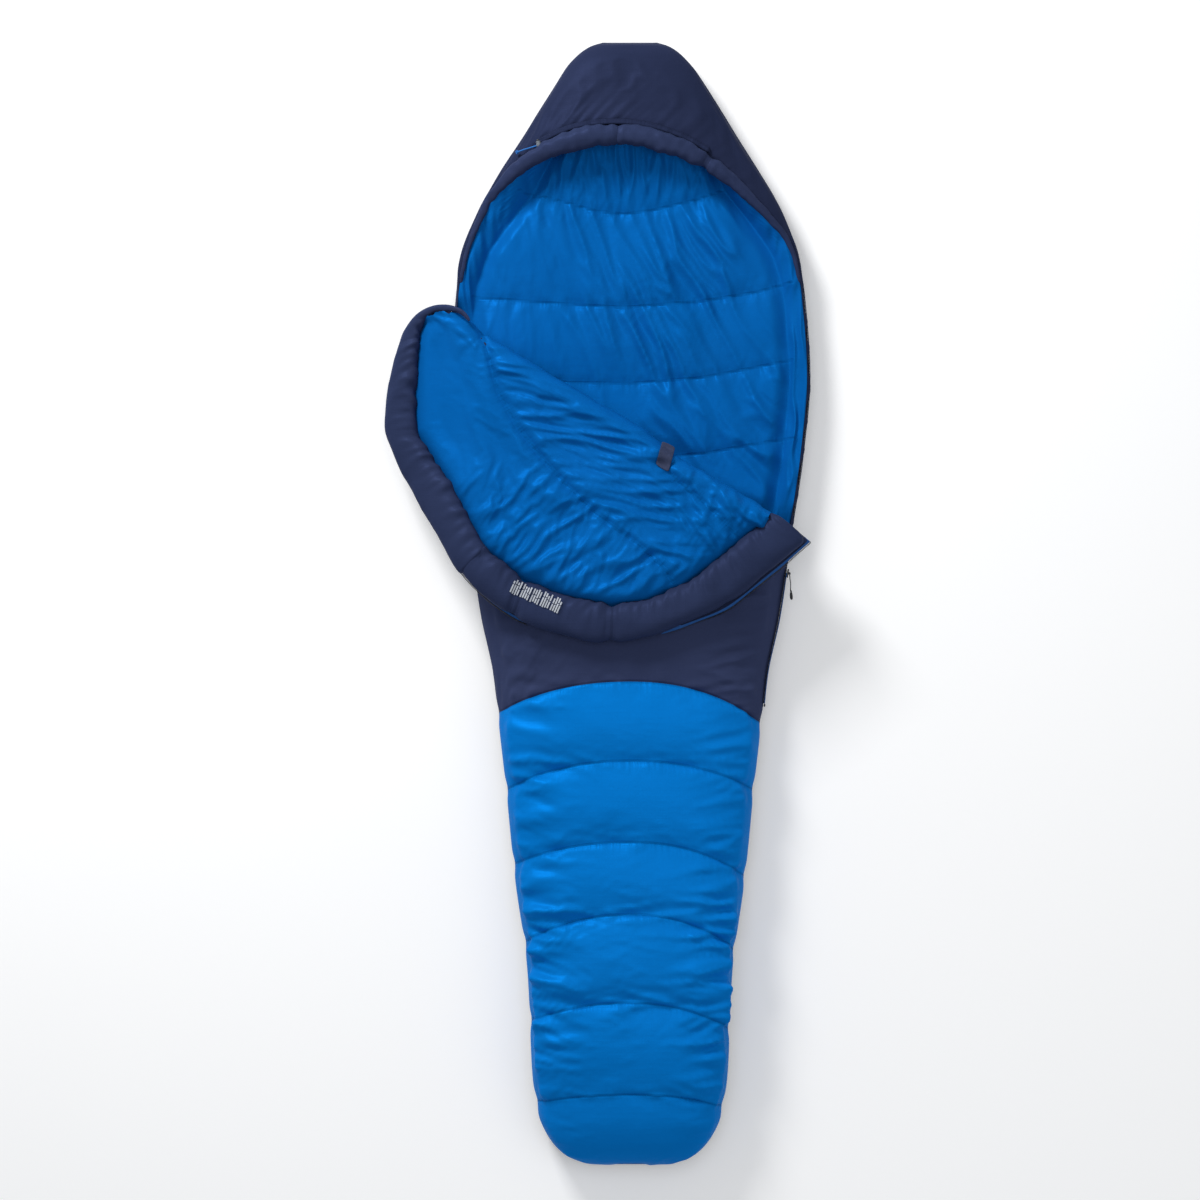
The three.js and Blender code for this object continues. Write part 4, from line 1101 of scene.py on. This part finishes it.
def build_flap_lining():
    """The lining of the folded front with the turn of the fold and the first centimetres under
    it, in one piece."""
    cell = 0.0050
    turn = smooth_path(TURN, 22)
    away = np.concatenate([turn[:, 0], np.arange(0.024 + cell, 0.375, cell)])
    lift = np.concatenate([turn[:, 1], np.full(len(away) - len(turn), FLAP_THICK)])
    along = np.arange(-0.050, 0.728, cell)
    rolled = (np.arange(len(away)) < len(turn))[:, None]
    x, y = fold_place(along[None, :], away[:, None])
    # The edge of the fold wanders over the hinge's line.
    shift = (fold_edge(along) + 0.009)[None, :] * np.exp(-np.maximum(away[:, None], 0) / 0.08)
    x, y = x + AWAY.x * shift, y + AWAY.y * shift
    seam, stitch = nearest_line(x, y, FLAP_LINES)
    border = depth_in(x, y, flap_outline(0.0))
    upright = (lift[:, None] - TURN_LOW) / (FLAP_THICK - TURN_LOW)
    tucked = 0.030 * smooth(-lift[:, None] / 0.02)
    ends = np.minimum(along[None, :] + 0.012 - tucked, 0.702 - along[None, :])
    flat_part = (lift[:, None] > 0.028) & (away[:, None] > -0.003)
    under_tube = inside(x, y, flap_outline(0.35))
    keep = (rolled & (ends > 0)) | (flat_part & under_tube)
    top = 1 - np.exp(-np.maximum(border + 0.006, 0) / 0.016)
    top = np.where(rolled & (ends > 0), 1, top)
    # By the thin end of the neck tube the lining keeps its height up to the tube.
    tail = smooth((0.060 - along) / 0.030)[None, :] * smooth((0.060 - away) / 0.030)[:, None]
    top = np.maximum(top, 0.72 * tail)
    seam_dip = 0.0062 * np.exp(-seam / 0.005) + 0.004 * np.exp(-seam / 0.020)
    wrinkle = flap_folds(x, y, seam)
    puff = 0.007 * (1 - np.exp(-seam / 0.030)) + wrinkle - seam_dip
    over = smooth((upright - 0.25) / 0.6)
    height = np.where(rolled, lift[:, None], FLAP_EDGE + (lift[:, None] - FLAP_EDGE) * top)
    height = height + puff * top * over
    uneven = 0.002 * Noise(69)(along * 18, 0 * along)[None, :]
    swell = (0.35 * wrinkle + uneven) * (1 - over) * rolled
    x, y = x - AWAY.x * swell, y - AWAY.y * swell
    hang = droop(x) * smooth((lift[:, None] + 0.03) / 0.05)
    z = plane_z(x, y) + height - hang
    # Under the fold the lining lies against the inside of the front panel.
    z = np.maximum(z, 0.052)
    faces, used = cut_grid(keep)
    points = np.stack([x, y, z], -1).reshape(-1, 3)[used]
    seam, stitch = seam.reshape(-1)[used], stitch.reshape(-1)[used]
    border = np.where(rolled & (ends > 0), 0.05, border).reshape(-1)[used]
    row_of = np.repeat(np.arange(len(away)), len(along))[used]
    rest = points.copy()
    rest[:, 0] = points[:, 0] * 1.03
    rest[:, 1] = 0.25 + (points[:, 1] - 0.25) * 1.04
    pins = 0.85 * (seam < 0.0035)
    pins = np.where(border < 0.004, 1, pins)
    pins = np.where(row_of < 3, 1, pins)
    pins = np.where((row_of < len(turn)) & (row_of >= 3), np.maximum(pins, 0.12), pins)
    done = settle(points, faces, rest, pins, 1.3, frames=18, limit=0.012, bend=0.10)
    done[:, 2] = np.minimum(done[:, 2], TOP_LIMIT)
    obj = mesh_object("flap_lining_and_fold", done, faces, LINING_BLUE, seam, stitch)
    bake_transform(obj)
    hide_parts("flap_lining", "fold_roll")
    return done, faces


def build_flap_shell():
    """The outer shell of the folded part, face down on the bag."""
    cell = 0.010
    along = np.arange(-0.060, 0.745, cell)
    away = np.arange(0.0, 0.40, cell)
    start = fold_edge(along)[None, :] + 0.002
    x, y = fold_place(along[None, :] + 0 * away[:, None], away[:, None] + start)
    border = depth_in(x, y, flap_outline(0.80))
    z = flap_z(x, y) + 0.0015 + 0.003 * folds(71, x, y, 10, 0.03, 0.15)
    faces, used = cut_grid(border > -0.004)
    points = np.stack([x, y, z], -1).reshape(-1, 3)[used]
    obj = mesh_object("flap_shell_face", points, faces, SHELL_NAVY)
    put(obj, ["flap_shell", "flap_insulation"], "flap")
    # The shell's own turn lies just inside the lining's, so that it is on top when closed.
    section = smooth_path([(a + 0.0045, lift * 0.93) for a, lift in TURN[2:-1]], 14)
    along = np.linspace(-0.010, 0.700, 130)
    rows = []
    for distance, lift in section:
        x, y = fold_place(along, fold_edge(along) + 0.009 + distance)
        hang = droop(x) * smooth((lift + 0.03) / 0.05)
        rows.append(np.column_stack([x, y, plane_z(x, y) + lift - hang]))
    strip = mesh_object("fold_strip", np.array(rows), grid_faces(len(rows), len(along)), SHELL_NAVY)
    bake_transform(strip)


def edge_tube(name, edge, seed, node, joints):
    """A padded tube between an inner and an outer line, drawn in where it is sewn to the lining
    and at its joints."""
    count = 230
    sides = 30
    both = smooth_path(edge, count)
    inner, outer = both[:, :2], both[:, 2:]
    across = outer - inner
    width = np.linalg.norm(across, axis=1)
    across /= width[:, None]
    middle = (inner + outer) / 2
    run = run_along(middle)
    end = round_ends(count, run[-1], 0.012)
    pinch = np.ones(count)
    joint_gap = np.full(count, 1.0)
    for jx, jy in joints:
        gap = np.hypot(middle[:, 0] - jx, middle[:, 1] - jy)
        pinch *= 1 - 0.16 * np.exp(-(gap / 0.012) ** 2)
        joint_gap = np.minimum(joint_gap, gap)
    angle = np.linspace(0, 2 * math.pi, sides, endpoint=False)
    c, s = np.cos(angle), np.sin(angle)
    c = np.sign(c) * np.abs(c) ** 0.85
    s = np.sign(s) * np.abs(s) ** 0.85
    grow = Noise(seed)(run * 9, 0 * run) * 0.05 + 1
    half = width / 2 * grow * (0.35 + 0.65 * end) * pinch
    high = np.minimum(TUBE_HEIGHT, width * 0.95) / 2 * (0.25 + 0.75 * end) * pinch
    # Gathers start at the sewn inner line and fade over the crown of the tube.
    gather = Noise(seed + 1)(run[:, None] * 75 + 1.3 * s[None, :], 0.8 * c[None, :])
    broad = Noise(seed + 2)(run[:, None] * 24 + 0.8 * s[None, :], 1.1 * c[None, :] + 5)
    inward = smooth((-c + 0.5) / 1.3)[None, :]
    ridge = 0.0034 * gather * (0.15 + inward) + 0.0020 * broad
    ridge = ridge * np.minimum(1, width / 0.05)[:, None]
    a = half[:, None] * c[None, :] + ridge * c[None, :]
    b = high[:, None] * s[None, :] + ridge * s[None, :]
    x = middle[:, 0, None] + across[:, 0, None] * a
    y = middle[:, 1, None] + across[:, 1, None] * a
    raised = np.maximum(high * 1.02, TUBE_HEIGHT * 0.92 - high)
    z = flap_z(middle[:, 0], middle[:, 1])[:, None] + 0.001 + raised[:, None] + b
    z = z - (droop(x) - droop(middle[:, 0])[:, None]) * 0.6
    rings = np.stack([x, y, z], -1)
    perimeter = np.abs(np.arctan2(s, c))[None, :] * half[:, None]
    seam_in = half[:, None] * math.pi - perimeter
    seam = np.minimum(seam_in + 0.002, joint_gap[:, None] + 0.0003)
    obj = tube_object(name, rings, TUBE_NAVY, seam, run[:, None] + 0 * seam)
    put(obj, [node], "flap")
    return rings


class Drop:
    """Finds the height of a finished surface under a point of the plan."""

    def __init__(self, points, faces):
        flat = np.asarray(points).reshape(-1, 3)
        self.tree = BVHTree.FromPolygons(flat.tolist(), [list(f) for f in faces])

    def z(self, x, y, fallback=0.15):
        hit = self.tree.ray_cast(Vector((x, y, 1.0)), Vector((0, 0, -1)))
        return hit[0].z if hit[0] else fallback


def build_flap():
    done, faces = build_flap_lining()
    build_flap_shell()
    edge_tube("neck_tube_padded", NECK_EDGE, 81, "neck_tube", [(-0.35, 0.24)])
    rings = edge_tube("draft_tube_padded", ZIP_EDGE, 85, "draft_tube",
                      [(0.024, -0.037), (-0.150, 0.011)])
    build_tab(Drop(done, faces))
    build_care_print(Drop(rings, grid_faces(rings.shape[0], rings.shape[1], ring=True)))


def build_tab(lining):
    """A flat webbing tab on the lining beside the fold, a little arched."""
    corners = [(0.120, 0.306), (0.145, 0.294), (0.131, 0.245), (0.107, 0.260)]
    rows, cols = 12, 5
    top = []
    for i in range(rows):
        f = i / (rows - 1)
        for j in range(cols):
            g = j / (cols - 1)
            left = [corners[0][k] * (1 - f) + corners[3][k] * f for k in (0, 1)]
            right = [corners[1][k] * (1 - f) + corners[2][k] * f for k in (0, 1)]
            x = left[0] * (1 - g) + right[0] * g
            y = left[1] * (1 - g) + right[1] * g
            z = lining.z(x, y, plane_z(x, y) + 0.02)
            top.append((x, y, z))
    heights = np.array([p[2] for p in top]).reshape(rows, cols)
    heights = np.maximum(heights, heights.mean(axis=1, keepdims=True))
    heights = heights + 0.0024 + 0.003 * np.sin(math.pi * np.linspace(0.05, 0.9, rows))[:, None]
    upper = np.array(top).reshape(rows, cols, 3)
    upper[..., 2] = heights
    lower = upper.copy()
    lower[..., 2] -= 0.0016
    rings = np.concatenate([upper, lower[:, ::-1]], axis=1)
    width = 0.027
    side = np.linspace(0, width, cols)
    side = np.minimum(side, width - side)
    stitch_gap = np.abs(np.concatenate([side, side[::-1]]) - 0.003)[None, :] + np.zeros((rows, 1))
    run = np.linspace(0, 0.05, rows)[:, None] + 0 * stitch_gap
    obj = tube_object("webbing_tab", rings, WEBBING, stitch_gap + 0.0006, run)
    put(obj, ["lining_tab"], body="flap")


def build_care_print(tube):
    """Blocks of short pale bars where the care print is: no words, only the rhythm of lines."""
    rng = np.random.default_rng(7)
    points, faces = [], []
    centre, turn = (-0.116, 0.013), math.radians(-24)
    width, lift = 0.0028, 0.0022

    def bar(left, v):
        steps = max(2, round((v[1] - v[0]) / 0.004))
        for i in range(steps + 1):
            w = v[0] + (v[1] - v[0]) * i / steps
            for u in (left, left + width):
                x = centre[0] + u * math.cos(turn) - w * math.sin(turn)
                y = centre[1] + u * math.sin(turn) + w * math.cos(turn)
                points.append((x, y, tube.z(x, y) + lift))
        first = len(points) - 2 * (steps + 1)
        for i in range(steps):
            a = first + 2 * i
            faces.append((a, a + 1, a + 3, a + 2))

    for column in range(5):
        first = -0.050 + 0.0205 * column
        for line in range(4):
            u = first + line * 0.0046
            low, top = -0.014 + rng.uniform(0, 0.003), 0.016 - rng.uniform(0, 0.006)
            gap = rng.uniform(-0.004, 0.006)
            bar(u, (low, gap))
            bar(u, (gap + 0.0016, top))
    obj = mesh_object("care_print", points, faces, PRINT, levels=0)
    put(obj, ["care_patch"], body="flap")


# ------------------------------------------------------------------ side zip

ZIP_Z = 0.050
ZIP_FOOT, ZIP_HEAD = -0.190, 0.700
SLIDER_Y = 0.058
TAPE_THICK = 0.0011
COIL_PITCH, COIL_WIRE = 0.0030, 0.0005
UP = np.array([[0.0, 0.0, 1.0]])


def ribbon(name, outline, low, high, node, out):
    """An upright zip tape beside a line of plan points with their outward normals."""
    path, normal = outline
    n = len(path)
    rings = []
    for reach, z in ((out, low), (out + TAPE_THICK, low), (out + TAPE_THICK, high), (out, high)):
        rings.append(np.column_stack([path + normal * reach, np.full(n, z)]))
    from_seam = np.full((n, 4), 0.004)
    run = run_along(path)[:, None] + 0 * from_seam
    obj = tube_object(name, np.stack(rings, 1), TAPE, from_seam, run, 0)
    put(obj, [node])


def side_line(y0, y1, step=0.006):
    """The right side seam in plan between two y, with its outward normals."""
    y = np.linspace(y0, y1, max(3, round((y1 - y0) / step)))
    path = np.column_stack([CENTRE_X + half_width(y) - drawn_in(y, 1), y])
    tangent = unit(np.gradient(path, axis=0))
    return path, np.column_stack([tangent[:, 1], -tangent[:, 0]])


def coil_along(path, out, wide, high):
    """A zip coil: a flattened spiral along a path of points."""
    run = run_along(path)
    turns = run[-1] / COIL_PITCH
    per_turn = 8
    t = np.linspace(0, run[-1], max(8, int(turns * per_turn)))
    centre = np.column_stack([np.interp(t, run, path[:, k]) for k in range(3)])
    out_at = np.column_stack([np.interp(t, run, out[:, k]) for k in range(3)])
    phase = 2 * math.pi * t / COIL_PITCH
    spiral = centre + out_at * (wide * np.cos(phase))[:, None]
    spiral = spiral + UP * (high * np.sin(phase))[:, None]
    return wire_rings(spiral, COIL_WIRE, 4)


def wire_rings(path, radius, sides):
    """Round rings along a path of any direction; radius may vary along it."""
    path = np.asarray(path, float)
    tangent = np.gradient(path, axis=0)
    tangent /= np.linalg.norm(tangent, axis=1, keepdims=True) + 1e-12
    side = np.cross(tangent, [0.0, 0.0, 1.0])
    weak = np.linalg.norm(side, axis=1) < 0.05
    side[weak] = np.cross(tangent[weak], [0.0, 1.0, 0.0])
    side /= np.linalg.norm(side, axis=1, keepdims=True)
    up = np.cross(side, tangent)
    angle = np.linspace(0, 2 * math.pi, sides, endpoint=False)
    radius = np.broadcast_to(radius, len(path))
    wide = side[:, None, :] * np.cos(angle)[None, :, None]
    high = up[:, None, :] * np.sin(angle)[None, :, None]
    return path[:, None, :] + radius[:, None, None] * (wide + high)


def blob(centre, axes, sizes, power=4.0, rings=12, sides=20):
    """A rounded block: points and faces of a superellipsoid with half sizes along its axes."""
    v = np.linspace(-math.pi / 2, math.pi / 2, rings)[1:-1]
    u = np.linspace(0, 2 * math.pi, sides, endpoint=False)

    def soft(t):
        return np.sign(t) * np.abs(t) ** (2 / power)

    a = soft(np.cos(v))[:, None] * soft(np.cos(u))[None, :]
    b = soft(np.cos(v))[:, None] * soft(np.sin(u))[None, :]
    c = soft(np.sin(v))[:, None] + 0 * a
    local = np.stack([a, b, c], -1).reshape(-1, 3) * np.array(sizes)
    points = local @ np.array([list(axis) for axis in axes]) + np.array(centre)
    return points, tube_faces(len(v), sides)


def joined(parts):
    """Points and faces of several parts as one mesh."""
    points, faces, count = [], [], 0
    for p, f in parts:
        p = np.asarray(p).reshape(-1, 3)
        points.append(p)
        faces += [tuple(i + count for i in face) for face in f]
        count += len(p)
    return np.concatenate(points), faces


def rings_part(rings):
    return rings.reshape(-1, 3), tube_faces(*rings.shape[:2])


def simple(name, parts, material, node, body, levels=1):
    """A piece of trim made of closed parts, standing for one node of the frame."""
    points, faces = joined(parts)
    put(mesh_object(name, points, faces, material, levels=levels), [node], body=body)


def build_zip():
    ribbon("tape_back", side_line(ZIP_FOOT, ZIP_HEAD), 0.0395, 0.0480, "zip_tape_back", 0.0004)
    ribbon("tape_front", side_line(ZIP_FOOT, SLIDER_Y), 0.0522, 0.0610, "zip_tape_front", 0.0012)
    path, normal = side_line(ZIP_FOOT, ZIP_HEAD)
    path3 = np.column_stack([path + normal * 0.0002, np.full(len(path), ZIP_Z)])
    out = np.column_stack([normal, np.zeros(len(path))])
    rings = coil_along(path3, out, 0.0008, 0.0019)
    simple("coil_back", [rings_part(rings)], COIL, "zip_coil_back", "bag", 0)
    low, low_out = side_line(ZIP_FOOT - 0.0065, ZIP_FOOT - 0.0005, 0.002)
    centre = (low[1][0] + low_out[1][0] * 0.0022, low[1][1], ZIP_Z)
    axes = (Vector((low_out[1][0], low_out[1][1], 0)), Vector((-low_out[1][1], low_out[1][0], 0)),
            Vector((0, 0, 1)))
    simple("bottom_stop", [blob(centre, axes, (0.0016, 0.0026, 0.0042), 5)], METAL,
           "zip_bottom_stop", "bag")
    build_slider()
    build_flap_zip()


def build_slider():
    """The zip's slider and its pull: metal tab, doubled cord and moulded tip."""
    lean = math.atan2(0.046, 0.304)  # the side seam's slope by the slider
    out = Vector((math.cos(lean), -math.sin(lean), 0))
    run = Vector((math.sin(lean), math.cos(lean), 0))
    up = Vector((0, 0, 1))
    at = Vector((float(CENTRE_X + half_width(SLIDER_Y)), SLIDER_Y, ZIP_Z))

    def place(o, r, u):
        return at + out * o + run * r + up * u

    axes = (out, run, up)
    # Two plates with a post between them, rails along the plates' edges, and the ears.
    parts = []
    for at_place, sizes, power in (
            ((0.0049, -0.0003, 0), (0.0010, 0.0086, 0.0050), 5),
            ((0.0049, 0.0048, 0), (0.0011, 0.0038, 0.0060), 4),
            ((0.0040, 0, 0.0046), (0.0011, 0.0078, 0.0008), 5),
            ((0.0040, 0, -0.0046), (0.0011, 0.0078, 0.0008), 5),
            ((0.0072, 0, 0.0036), (0.0026, 0.0025, 0.0009), 4),
            ((0.0072, 0, -0.0036), (0.0026, 0.0025, 0.0009), 4),
            ((0.0091, 0, 0), (0.0008, 0.0016, 0.0043), 4)):
        parts.append(blob(place(*at_place), axes, sizes, power))
    simple("slider", parts, METAL, "zip_slider", "zip_slider")
    # The pull hangs from the ears and swings out by its own angle.
    swing = math.radians(13) - lean
    way = Vector((math.sin(swing), -math.cos(swing), 0))
    across = Vector((math.cos(swing), math.sin(swing), 0))
    pivot = place(0.008, 0, 0)
    frame_axes = (across, way, up)

    def down(distance, side=0.0, height=0.0):
        return pivot + way * distance + across * side + up * height

    ring = []
    for k in range(25):
        t = 2 * math.pi * k / 24
        ring.append(down(0.0056 + 0.0058 * math.sin(t), 0, 0.0021 * math.cos(t)))
    tab = [blob(down(0.0003), frame_axes, (0.0015, 0.0016, 0.0022), 3),
           rings_part(wire_rings(ring, 0.0009, 8)),
           blob(down(0.0100), frame_axes, (0.0009, 0.0014, 0.0022), 4)]
    simple("pull_tab", tab, METAL, "zip_pull_tab", "zip_pull")
    # A doubled cord, then the moulded tip.
    strands = []
    for sign in (-1, 1):
        line = [down(0.0108 + 0.0245 * f, 0.0006 * math.sin(5 * f), sign * 0.0010 * (1 - 0.3 * f))
                for f in np.linspace(0, 1, 14)]
        strands.append(rings_part(wire_rings(line, 0.00085, 8)))
    strands.append(blob(down(0.0335), frame_axes, (0.0019, 0.0020, 0.0022), 2.2))
    simple("pull_cord", strands, CORD_DARK, "zip_pull_cord", "zip_pull")
    tip = np.array([(0.0353, 0.0012), (0.0358, 0.0019), (0.0372, 0.0024), (0.0395, 0.0027),
                    (0.043, 0.0029), (0.046, 0.0028), (0.0485, 0.0024), (0.0496, 0.0017),
                    (0.0500, 0.0006)])
    grip = [rings_part(wire_rings([down(float(d)) for d in tip[:, 0]], tip[:, 1], 16))]
    for d in (0.0405, 0.0432, 0.0459):
        grip.append(rings_part(wire_rings([down(d - 0.0006), down(d), down(d + 0.0006)],
                                          np.array([0.0028, 0.0032, 0.0028]), 16)))
    simple("pull_tip", grip, RUBBER, "zip_pull_tip", "zip_pull")


def build_flap_zip():
    """The other half of the zip, under the draft tube's outer edge, out in sight to the right."""
    n = 120
    both = smooth_path(ZIP_EDGE, n)
    inner, outer = both[:, :2], both[:, 2:]
    way = unit(outer - inner)
    shown = 0.0085 * smooth((np.linspace(0, 11, n) - 4.5) / 4)
    z = flap_z(outer[:, 0], outer[:, 1])
    wave = 0.0012 * Noise(91)(np.linspace(0, 14, n), np.zeros(n))
    rings = []
    for reach, height in ((-0.014, -0.001), (-0.014, 0.0004), (0.0, 0.0012), (0.0, 0.0)):
        p = outer + way * (reach + shown + wave)[:, None]
        rings.append(np.column_stack([p, z + height + wave]))
    simple("tape_flap", [rings_part(np.stack(rings, 1))], TAPE, "zip_tape_flap", "flap", 0)
    # A strip of the shell between the tube and the tape.
    guard = [np.column_stack([outer + way * reach, z + 0.0018])
             for reach in (-0.045, -0.030, -0.016)]
    guard.append(np.column_stack([outer + way * (shown[:, None] - 0.004), z + 0.0016]))
    obj = mesh_object("zip_guard", np.array(guard), grid_faces(4, n), SHELL_NAVY)
    put(obj, [], "flap")
    p = outer + way * (0.0018 + shown + wave)[:, None]
    path = np.column_stack([p, z - 0.0006 + wave])
    out = np.column_stack([way, np.zeros(n)])
    rings = coil_along(path, out, 0.0014, 0.0012)
    simple("coil_flap", [rings_part(rings)], COIL, "zip_coil_flap", "flap", 0)


# ------------------------------------------------------------ drawcord and lock

# The cord's route, the same points as in the frame.
CORD_EXIT = Vector((-0.099, 0.869, 0.107))
CORD_HEADING = Vector((-0.92, -0.25, -0.30)).normalized()
CORD_STRAIGHT = 0.046
CORD_END = Vector((-0.153, 0.854, 0.083))
CORD_RADIUS = 0.0015
LOCK_AT = 0.014


def build_drawcord():
    straight = [CORD_EXIT + CORD_HEADING * d for d in (0.0, 0.016, 0.032, CORD_STRAIGHT)]
    bend = straight[-1].lerp(CORD_END, 0.5) + Vector((0, 0, 0.0015))
    route = straight + [bend, CORD_END]
    line = smooth_path([tuple(p) for p in route], 90)
    obj = tube_object("drawcord", wire_rings(line, CORD_RADIUS, 12), CORD_BLUE)
    # A small overhand knot at the end.
    back = (Vector(line[-1]) - Vector(line[-6])).normalized()
    side = back.cross(Vector((0, 0, 1))).normalized()
    top = side.cross(back)
    centre = CORD_END + back * 0.0012
    loop = []
    for a in np.linspace(0, 2 * math.pi, 72):
        radius = 0.0019 + 0.0012 * math.cos(3 * a)
        point = centre + side * (radius * math.cos(2 * a)) + back * (radius * math.sin(2 * a))
        loop.append(point + top * (0.0013 * math.sin(3 * a)))
    knot = rings_part(wire_rings(loop, 0.00125, 8))
    knot_obj = mesh_object("drawcord_knot", *knot, CORD_BLUE)
    # The cord's other strand, which shows beside the lock.
    under = CORD_EXIT + CORD_HEADING * 0.004
    strand = smooth_path([tuple(under + Vector(offset)) for offset in (
        (0, 0, -0.003), (-0.004, -0.010, -0.004), (-0.007, -0.019, -0.006),
        (-0.012, -0.023, -0.006))], 30)
    short = rings_part(wire_rings(strand, 0.0013, 10))
    strand_obj = mesh_object("drawcord_strand", *short, CORD_BLUE)
    for piece in (obj, knot_obj, strand_obj):
        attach(piece, "bag")
    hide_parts("drawcord_tail")
    build_lock()


def build_lock():
    across = Vector((CORD_HEADING.y, -CORD_HEADING.x, 0)).normalized()
    top = across.cross(CORD_HEADING).normalized()
    top = top if top.z > 0 else -top
    centre = CORD_EXIT + CORD_HEADING * LOCK_AT
    half = 0.0075  # of the barrel's length

    def ring(distance, radius, around=24):
        points = []
        for k in range(around):
            t = 2 * math.pi * k / around
            points.append(centre + across * distance + top * (radius * math.cos(t))
                          + CORD_HEADING * (radius * math.sin(t)))
        return points

    # A turned barrel with a rounded back, two ribs and an open mouth for the button.
    shape = [(-half, 0.0004), (-half, 0.0028), (-half + 0.0006, 0.0040), (-half + 0.0016, 0.0045),
             (-0.0030, 0.0045), (-0.0027, 0.0041), (-0.0022, 0.0041), (-0.0019, 0.0045),
             (0.0040, 0.0045), (0.0043, 0.0041), (0.0048, 0.0041), (0.0051, 0.0045),
             (half - 0.0006, 0.0045), (half, 0.0041), (half, 0.0034), (half - 0.0004, 0.0031),
             (half - 0.0062, 0.0031), (half - 0.0066, 0.0004)]
    body = np.array([[tuple(p) for p in ring(d, r)] for d, r in shape])
    eye_parts = [rings_part(body)]
    for way in (-1, 1):
        collar = []
        for k in range(21):
            t = 2 * math.pi * k / 20
            collar.append(centre + CORD_HEADING * (way * 0.0043) + across * (0.0023 * math.cos(t))
                          + top * (0.0023 * math.sin(t)))
        eye_parts.append(rings_part(wire_rings(collar, 0.0006, 8)))
    simple("lock_barrel", eye_parts, LOCK_GREY, "cord_lock_body", "cord_lock")
    shape = [(0.0058, 0.0004), (0.0058, 0.0026), (0.0062, 0.0027), (0.0098, 0.0027),
             (0.0106, 0.0024), (0.0108, 0.0018), (0.0106, 0.0004)]
    button = np.array([[tuple(p) for p in ring(d, r)] for d, r in shape])
    simple("lock_button", [rings_part(button)], LOCK_DARK, "cord_lock_button",
           "lock_button")


# --------------------------------------------------------------- floor and light

def build_stage():
    size = 30.0
    mesh = bpy.data.meshes.new("floor")
    mesh.from_pydata([(-size, -size, 0), (size, -size, 0), (size, size, 0), (-size, size, 0)],
                     [], [(0, 1, 2, 3)])
    floor = bpy.data.objects.new("floor", mesh)
    bpy.context.scene.collection.objects.link(floor)
    n = Nodes("floor")
    n.bsdf.inputs["Base Color"].default_value = (0.93, 0.93, 0.93, 1)
    n.bsdf.inputs["Roughness"].default_value = 0.9
    n.bsdf.inputs["Emission Color"].default_value = (1, 1, 1, 1)
    n.bsdf.inputs["Emission Strength"].default_value = 0.19
    mesh.materials.append(n.material)


def area_light(name, place, target, size, power, colour=(1, 1, 1)):
    data = bpy.data.lights.new(name, "AREA")
    data.shape = "RECTANGLE"
    data.size, data.size_y = size
    data.energy = power
    data.color = colour
    obj = bpy.data.objects.new(name, data)
    obj.location = place
    obj.rotation_euler = (Vector(target) - Vector(place)).to_track_quat("-Z", "Y").to_euler()
    bpy.context.scene.collection.objects.link(obj)


def build_lights():
    world = bpy.data.worlds.new("studio")
    world.use_nodes = True
    background = world.node_tree.nodes["Background"]
    background.inputs["Color"].default_value = (0.93, 0.96, 1.0, 1)
    background.inputs["Strength"].default_value = 0.36
    bpy.context.scene.world = world
    area_light("key", (-1.7, 3.0, 2.2), (0, 0.1, 0), (1.1, 1.1), 128)
    area_light("fill", (2.4, -1.2, 3.0), (0, 0, 0), (2.6, 2.6), 14)
    area_light("top", (0.0, 0.4, 4.2), (0, 0, 0), (2.2, 2.2), 26)


def build_camera():
    frame_width = 2.2716  # what the square picture spans at the bag's height
    middle = (0.003, 0.0066, 0.08)
    distance = 8.0
    data = bpy.data.cameras.new("camera")
    data.sensor_width = 36
    data.lens = data.sensor_width * distance / frame_width
    data.clip_end = 50
    camera = bpy.data.objects.new("camera", data)
    camera.location = (middle[0], middle[1], middle[2] + distance)
    bpy.context.scene.collection.objects.link(camera)
    bpy.context.scene.camera = camera


# -------------------------------------------------------------------- assembly

build_camera()
build_lights()
build_stage()
build_front()
build_back()
build_bed()
build_walls()
build_hood()
build_rim()
build_channel()
build_flap()
build_zip()
build_drawcord()
bpy.context.scene.view_settings.view_transform = "Standard"
